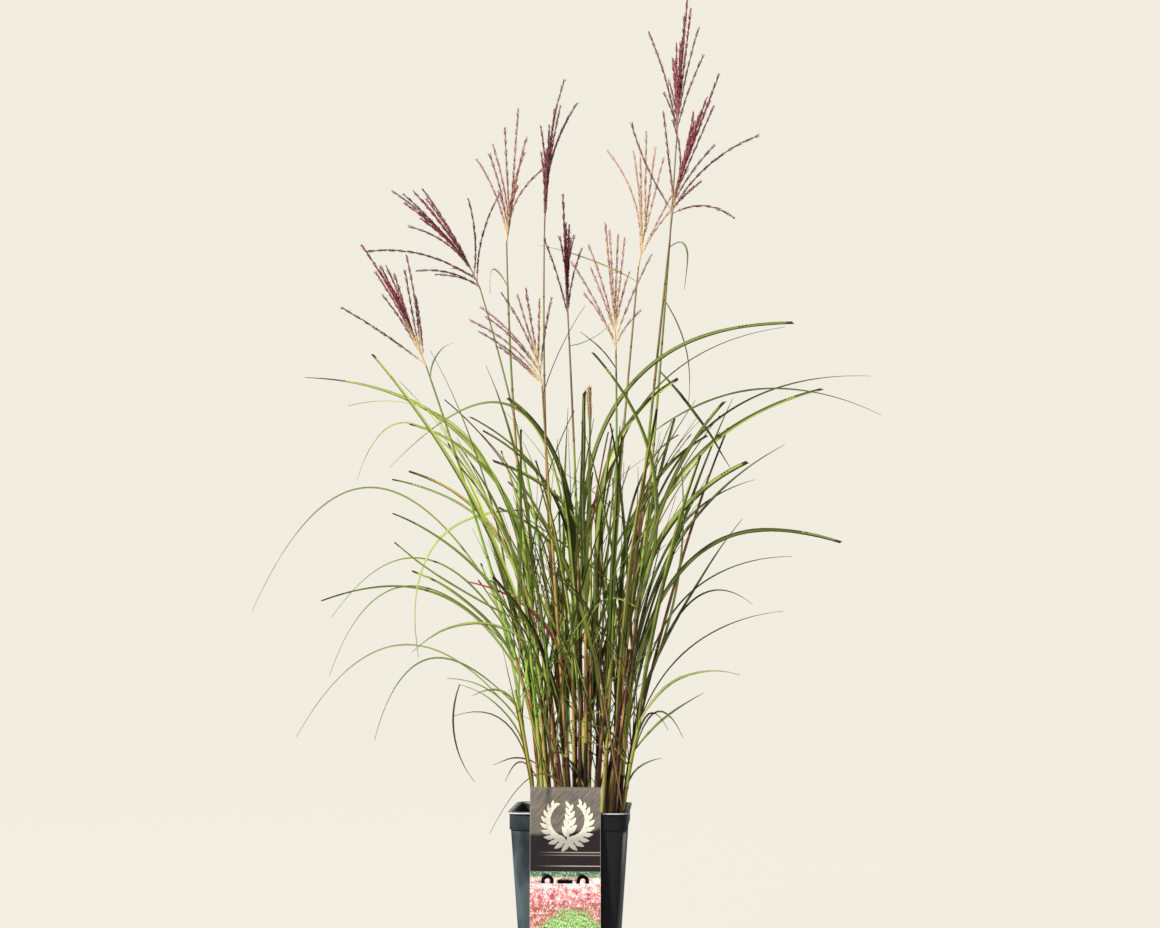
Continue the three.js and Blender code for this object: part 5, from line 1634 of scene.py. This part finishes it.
@dataclass
class Pot:
    """The square nursery pot, moulded in one piece, with a band under its lip and channels in its foot."""

    channel_depth: float = 1.8
    channel_width: float = 11.0
    channel_start: float = 18.0
    drain_radius: float = 4.0
    drain_at: float = 36.0

    @staticmethod
    def inner_half(z: float) -> float:
        """Half width of the well at a height."""
        return FOOT_HALF + (BODY_TOP_HALF - FOOT_HALF) * min(z, BAND_FOOT_Z) / BAND_FOOT_Z - WALL

    def profile(self) -> list[tuple[float, float, float]]:
        """The wall's profile: up the outside, over the lip and down the well to its floor."""
        r, lip = CORNER_RADIUS, POT_HEIGHT - LIP_THICKNESS
        well, low = self.inner_half(BAND_FOOT_Z), self.inner_half(FLOOR + 1)
        outside = [(FOOT_HALF - 1.6, r - 2.2, 0), (FOOT_HALF - 0.5, r - 1.4, 0.5), (FOOT_HALF, r - 1, 1.8)]
        climb = [(FOOT_HALF + (BODY_TOP_HALF - FOOT_HALF) * t, r - 1 + t, 1.8 + (BAND_FOOT_Z - 1.8) * t)
                 for t in (0.02, 0.25, 0.5, 0.75, 0.985, 1.0)]
        band = [(BAND_HALF - 0.3, r, BAND_FOOT_Z + 0.5), (BAND_HALF, r, BAND_FOOT_Z + 1.3),
                (BAND_HALF, r, lip - 0.7), (BAND_HALF + 0.2, r, lip - 0.2), (BAND_HALF + 0.8, r + 0.6, lip),
                (LIP_HALF - 0.35, r + 2, lip), (LIP_HALF, r + 2, lip + 0.4),
                (LIP_HALF, r + 2, POT_HEIGHT - 0.6), (LIP_HALF - 0.25, r + 1.8, POT_HEIGHT - 0.15),
                (LIP_HALF - 0.8, r + 1.5, POT_HEIGHT)]
        inside = [(well + 0.6, r - 1, POT_HEIGHT), (well, r - WALL, POT_HEIGHT - 0.6),
                  (well, r - WALL, BAND_FOOT_Z), (low, r - WALL - 1, FLOOR + 1.5),
                  (low - 1.5, r - WALL - 2, FLOOR)]
        floor = [((low - 1.5) * t, (r - WALL - 2) * t, FLOOR) for t in (0.6, 0.2)]
        foot = [((FOOT_HALF - 1.6) * t, (r - 2.2) * t, 0) for t in (0.2, 0.6)]
        return foot + outside + climb + band + inside + floor

    def build(self, material: bpy.types.Material) -> bpy.types.Object:
        """Make the pot, and cut the channels and drain holes through its foot.

        Args:
            material: its finish.

        Returns:
            The piece.
        """
        skin = Skin()
        tube(skin, square_lathe(self.profile()))
        pot = skin.piece("fine_pot", [material], 35)
        cuts = Skin()
        length = FOOT_HALF + 5 - self.channel_start
        holes = Skin()
        drain = circle(20) * self.drain_radius + np.array([self.drain_at, 0.0])
        for turn in np.arange(4) * math.pi / 2:
            middle = (self.channel_start + length / 2, 0.0, 0.0)
            block(cuts, middle, (length, self.channel_width, 2 * self.channel_depth), turn)
            cos, sin = math.cos(turn), math.sin(turn)
            outline = drain @ np.array([[cos, sin], [-sin, cos]])
            tube(holes, np.stack([level_ring(outline, z) for z in (-9.0, 9.0)]))
        carve(pot, cuts.piece("grooves", []))
        carve(pot, holes.piece("drains", []))
        return pot


@dataclass
class Soil:
    """The compost: a closed body that fills the pot, with a crumbly top and loose bits of bark."""

    crumb: float = 1.5
    chips: int = 420
    seed: int = 11

    def height(self, x: Array, y: Array) -> Array:
        """Height of the top: mounded in the middle, plus a sum of plane waves of 4 to 40 mm.

        Each wave is a sine along a chance direction; the finest are folded to their absolute value, which
        makes sharp hollows between rounded crumbs.
        """
        rng = np.random.default_rng(self.seed)
        far = np.maximum(np.abs(x), np.abs(y))
        top = SOIL_Z + 1.0 - 4.0 * smooth(40, 72, far)
        for wave in np.geomspace(40, 4.2, 26):
            turn, phase = rng.uniform(0, 2 * math.pi, 2)
            sine = np.sin((x * math.cos(turn) + y * math.sin(turn)) * 2 * math.pi / wave + phase)
            top = top + self.crumb * (wave / 40) ** 0.55 * (0.5 - np.abs(sine) if wave < 14 else sine * 0.4)
        return top

    def build(self, material: bpy.types.Material) -> bpy.types.Object:
        """Make the compost and the loose bits one piece.

        Args:
            material: its finish.

        Returns:
            The piece.
        """
        rng = np.random.default_rng(self.seed + 1)
        skin = Skin()
        low, gap = FLOOR + 0.3, 0.3
        well = Pot.inner_half(BAND_FOOT_Z) - gap
        sides = [(Pot.inner_half(low) - 0.9, 10.2, low), (well, 11.2, BAND_FOOT_Z + 1), (well, 11.2, 181)]
        fill = [(sides[0][0] * t, 10.2 * t, low) for t in (0.1, 0.6)] + sides
        top = [(well * t, 11.2 * t, SOIL_Z) for t in np.linspace(1, 0.012, 74)]
        rings = square_lathe(fill + top, corner=16, side=30)
        upper = rings[len(fill):]
        upper[..., 2] = self.height(upper[..., 0], upper[..., 1])
        tube(skin, rings, tone=0.3)
        x, y = rng.uniform(-66, 66, (2, self.chips))
        places = np.stack([x, y, self.height(x, y) - 0.4], axis=-1)
        lean, turn = rng.uniform(1.1, 1.6, self.chips), rng.uniform(0, 2 * math.pi, self.chips)
        way = np.stack([np.sin(lean) * np.cos(turn), np.sin(lean) * np.sin(turn), np.cos(lean)], axis=-1)
        size = np.stack([rng.uniform(0.5, 1.7, self.chips), rng.uniform(2.5, 8, self.chips)], axis=-1)
        scatter(skin, lance(((0.05, 0.7), (0.4, 1.0), (0.9, 0.6)), 6), places, way, size,
                tone=rng.uniform(0, 1, self.chips), rust=rng.uniform(0, 1, self.chips))
        return skin.piece("fine_soil", [material], 40)


@dataclass
class LabelCard:
    """The label: one plastic sheet from its front down to the tongue in the soil, with a raised sprig."""

    corner: float = 2.5
    wreath_z: float = 189.0
    wreath_radius: float = 27.0
    wreath_leaves: int = 20
    ear_leaves: int = 9

    def path(self) -> tuple[Array, Array, Array]:
        """The sheet's middle line in y and z, front foot first, with its normals and half widths."""
        front, back = LABEL_BACK_Y - SHEET / 2, TONGUE_FRONT_Y + SHEET / 2
        bend = (back - front) / 2
        fold = LABEL_TOP - bend - SHEET / 2
        rise = np.linspace(LABEL_FOOT, fold, 26)
        turn = np.linspace(math.pi, 0, 17)[1:-1]
        shoulder = LABEL_TOP - SHOULDER
        fall = np.array([fold, shoulder + 0.6, shoulder, shoulder - 0.4, 195, TONGUE_FOOT + 3, TONGUE_FOOT])
        face = np.concatenate([np.full(len(rise), math.pi), turn, np.zeros(len(fall))])
        y = (front + back) / 2 + bend * np.cos(face)
        z = np.concatenate([rise, fold + bend * np.sin(turn), fall])
        half = np.full(len(z), LABEL_WIDTH / 2)
        half[:2] -= np.array([self.corner, 0.3 * self.corner])
        tail = len(z) - len(fall)
        half[tail + 2:] = TONGUE_WIDTH / 2
        half[-1] -= 1.5
        return np.stack([y, z], axis=-1), np.stack([np.cos(face), np.sin(face)], axis=-1), half

    def sheet(self) -> Skin:
        """The sheet: a thin round-edged section carried along the middle line."""
        line, normal, half = self.path()
        line[1, 1] = LABEL_FOOT + 0.8
        s = np.array([1, 1, 1.0, 0.66, 0.33, 0, -0.33, -0.66, -1, -1, -1, -0.66, -0.33, 0, 0.33, 0.66])
        inset = np.array([0.15, 0, 0.15, 0, 0, 0, 0, 0, -0.15, 0, -0.15, 0, 0, 0, 0, 0])
        t = np.array([-1, 0, 1, 1, 1, 1, 1, 1, 1, 0, -1, -1, -1, -1, -1, -1]) * SHEET / 2
        x = LABEL_X + half[:, None] * s[None] - inset[None]
        y = line[:, :1] + normal[:, :1] * t[None]
        z = line[:, 1:] + normal[:, 1:] * t[None]
        skin = Skin()
        tube(skin, np.stack([x, y, z], axis=-1)[:, ::-1])
        return skin

    def slots(self) -> Skin:
        """The arched slots and the bar, as solids to cut by: an arch's outer arc up, its inner arc back."""
        cut = Skin()
        turn = np.linspace(0, math.pi, 13)
        inner = SLOT_REACH - SLOT_STROKE
        arch = np.stack([np.cos(turn), np.sin(turn)], axis=-1)
        outline = np.concatenate([
            [[SLOT_REACH, -SLOT_LEG]], arch * SLOT_REACH, [[-SLOT_REACH, -SLOT_LEG], [-inner, -SLOT_LEG]],
            arch * [-inner, inner], [[inner, -SLOT_LEG]]])
        front = LABEL_BACK_Y - SHEET / 2
        for side in (-1, 1):
            x, z = LABEL_X + side * ARCH_AT + outline[:, 0], SLOT_Z + outline[:, 1]
            rings = [np.stack([x, np.full(len(x), front + d), z], axis=-1) for d in (3.0, -3.0)]
            points = np.concatenate(rings)
            count = len(x)
            sides = tube_faces(2, count)[0]
            caps = [np.arange(count)[None, ::-1], (np.arange(count) + count)[None]]
            cut.add(points, [sides, *caps])
        block(cut, (LABEL_X, front, SLOT_Z - SLOT_LEG + SLOT_STROKE / 2), (BAR_LENGTH, 6, SLOT_STROKE))
        return cut

    def grow_sprig(self, skin: Skin, line: Array, leaves: int, length: float, lean: float) -> None:
        """Add a flat sprig: a thin stalk with leaves on alternate sides.

        Args:
            skin: the mesh it goes into.
            line: its stalk in x and z from the wreath's middle, foot first.
            leaves: how many leaves it has.
            length: the length of its lowest leaf; the others shorten to half of it.
            lean: the angle between a leaf and the stalk.
        """
        stalk = np.stack([LABEL_X + 3 + line[:, 0], np.full(len(line), LABEL_BACK_Y - SHEET),
                          self.wreath_z + line[:, 1]], axis=-1)
        way = np.gradient(stalk, axis=0)
        way /= np.linalg.norm(way, axis=1, keepdims=True)
        flat = np.array([1.0, 0.1, 1.0])
        t = np.linspace(0, 1, len(line))
        rings = round_rings(stalk, way, 1.1 - 0.5 * t, 8)
        tube(skin, stalk[:, None] + (rings - stalk[:, None]) * flat)
        u = np.linspace(0, 1, 12)
        for i in range(leaves):
            share = 0.1 + 0.88 * i / (leaves - 1)
            at = np.array([np.interp(share, t, stalk[:, k]) for k in range(3)])
            heading = math.atan2(np.interp(share, t, way[:, 0]), np.interp(share, t, way[:, 2]))
            turn = heading + (lean if i % 2 else -lean) * (1.1 - 0.4 * share)
            out = np.array([math.sin(turn), 0.0, math.cos(turn)])
            size = length * (1 - 0.45 * share)
            width = 0.16 + 0.21 * size * np.sin(math.pi * u**0.8) ** 0.9
            spine = at + out * (u * size)[:, None]
            leaf = round_rings(spine, np.repeat(out[None], len(u), axis=0), width, 10)
            tube(skin, spine[:, None] + (leaf - spine[:, None]) * np.array([1.0, 0.05, 1.0]))

    def build_sprig(self, material: bpy.types.Material) -> bpy.types.Object:
        """Make the printed wreath: two sprigs bent into a ring that is open at the top, round an ear.

        Args:
            material: its ink.

        Returns:
            The piece.
        """
        skin = Skin()
        turn = np.linspace(-0.35, 2.5, 40)
        for side in (-1, 1):
            ring = self.wreath_radius * np.stack([side * np.sin(turn), -np.cos(turn)], axis=-1)
            self.grow_sprig(skin, ring, self.wreath_leaves, 15.0, 0.75)
        t = np.linspace(0, 1, 20)
        ear = np.stack([3 * np.sin(2.2 * t), -24 + 42 * t], axis=-1)
        self.grow_sprig(skin, ear, self.ear_leaves, 17.0, 0.6)
        return skin.piece("label_sprig", [material])

    def build(self, material: bpy.types.Material) -> bpy.types.Object:
        """Make the card and cut its slots.

        Args:
            material: its printed finish.

        Returns:
            The piece.
        """
        card = self.sheet().piece("fine_label", [material], 35)
        carve(card, self.slots().piece("slots", []))
        return card


@dataclass
class Studio:
    """The pale bowl of paper that the plant stands in, with its lights and the camera. In metres."""

    flat: float = 3.6
    reach: float = 5.2
    wall: float = 5.0
    sides: int = 64

    def build_paper(self, material: bpy.types.Material) -> bpy.types.Object:
        """Make the bowl: a flat round floor whose rim rises as a quarter of an ellipse to an upright wall."""
        turn = np.linspace(0, math.pi / 2, 12)[1:]
        bend, floor = self.reach - self.flat, np.linspace(0.02, self.flat, 10)
        radius = np.concatenate([floor, self.flat + bend * np.sin(turn), [self.reach]])
        height = np.concatenate([0 * floor, bend * (1 - np.cos(turn)), [self.wall]])
        rings = [level_ring(circle(self.sides) * r, z) for r, z in zip(radius, height)]
        points = np.concatenate([*rings, np.zeros((2, 3))]) / MM
        walls, middle, _ = tube_faces(len(rings), self.sides)
        skin = Skin()
        skin.add(points[:-1], [walls[:, ::-1], middle[:, ::-1]])
        paper = skin.piece("studio_paper", [material], 180)
        paper.visible_diffuse = False
        paper.visible_glossy = False
        return paper

    @staticmethod
    def light(name: str, place: Sequence[float], target: Sequence[float], size: float, power: float,
              colour: Colour) -> None:
        """Add a square area light.

        Args:
            name: its name.
            place: where it stands.
            target: what it faces.
            size: its side.
            power: its power in watts.
            colour: its colour.
        """
        lamp = bpy.data.lights.new(name, "AREA")
        lamp.shape, lamp.size, lamp.energy, lamp.color = "SQUARE", size, power, colour
        holder = bpy.data.objects.new(name, lamp)
        holder.location = place
        holder.rotation_euler = (Vector(target) - Vector(place)).to_track_quat("-Z", "Y").to_euler()
        holder.visible_camera = False
        bpy.context.scene.collection.objects.link(holder)

    def light_up(self) -> None:
        """Add the key light from the left and front, a weak fill, a rim light and an even sky."""
        self.light("key", (-2.1, -1.9, 2.3), (0, 0, 0.6), 0.42, 265.0, (1.0, 0.97, 0.88))
        self.light("fill", (2.2, -1.6, 1.0), (0, 0, 0.5), 1.4, 22.0, (1.0, 0.97, 0.92))
        self.light("rim", (-0.7, 2.2, 2.4), (0, 0, 0.7), 1.0, 75.0, (1.0, 0.98, 0.9))
        world = bpy.data.worlds.new("sky")
        bpy.context.scene.world = world
        world.use_nodes = True
        sky = world.node_tree.nodes["Background"]
        sky.inputs["Color"].default_value = (0.95, 0.95, 0.92, 1.0)
        sky.inputs["Strength"].default_value = 0.3
        bpy.context.scene.view_settings.view_transform = "Standard"

    @staticmethod
    def place_camera() -> None:
        """Stand the camera at the eye point, turned and tilted as the photograph was taken."""
        lens = bpy.data.cameras.new("camera")
        lens.sensor_width = 36.0
        lens.lens = 36.0 * FOCAL_PIXELS / FRAME_WIDTH
        camera = bpy.data.objects.new("camera", lens)
        camera.location = (EYE * MM).tolist()
        camera.rotation_euler = (math.radians(90 + CAMERA_TILT), 0.0, math.radians(CAMERA_TURN))
        bpy.context.scene.collection.objects.link(camera)
        bpy.context.scene.camera = camera


STEM_SEED, PLUME_SEED = 100, 300


@dataclass
class PottedGrass:
    """The whole plant: its pieces, each riding on the one body and standing for its solid."""

    layout: FineLayout = field(default_factory=FineLayout)

    @staticmethod
    def settle(piece: bpy.types.Object, slot: str, *nodes: str) -> None:
        """Say what a piece rides on and which solids it stands for."""
        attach(piece, "root")
        if nodes:
            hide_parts(*nodes)
        log.info("%s: %d faces", piece.name, len(piece.data.polygons))

    def build_pot(self) -> None:
        """Build the pot, the compost and the label."""
        self.settle(Pot().build(PotFinish().material()), "pot", "pot")
        self.settle(Soil().build(SoilFinish().material()), "soil", "soil")
        card = LabelCard()
        self.settle(card.build(LabelFinish().material()), "label", "label")
        self.settle(card.build_sprig(InkFinish().material()), "label")

    def build_clump(self) -> None:
        """Build every stem with its blades, every flower head and the bud."""
        blade, stem_finish = BladeFinish().material(), StemFinish().material()
        plume, bud = PlumeFinish().material(), BudFinish().material()
        slots = {"culm": "culm", "shoot": "leaf", "inner": "inner_leaf"}
        for i, stem in enumerate(self.layout.stems):
            piece = LeafyStem(stem, STEM_SEED + i).build([blade, stem_finish])
            self.settle(piece, slots[stem.kind], stem.node)
            if stem.branches:
                head = Plume(stem, PLUME_SEED + i, *PLUME_TONES[stem.owner]).build(plume)
                self.settle(head, "plume", "plume_" + stem.owner)
            if stem.node == "culm_bud":
                self.settle(Bud(stem).build(bud), "bud", "bud_spindle")


def main() -> None:
    """Build the plant and the studio."""
    logging.basicConfig(level=logging.INFO, format="%(name)s %(message)s")
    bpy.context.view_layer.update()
    studio = Studio()
    studio.place_camera()
    studio.light_up()
    studio.build_paper(PaperFinish().material())
    plant = PottedGrass()
    plant.build_pot()
    plant.build_clump()


if __name__ == "__main__":
    main()
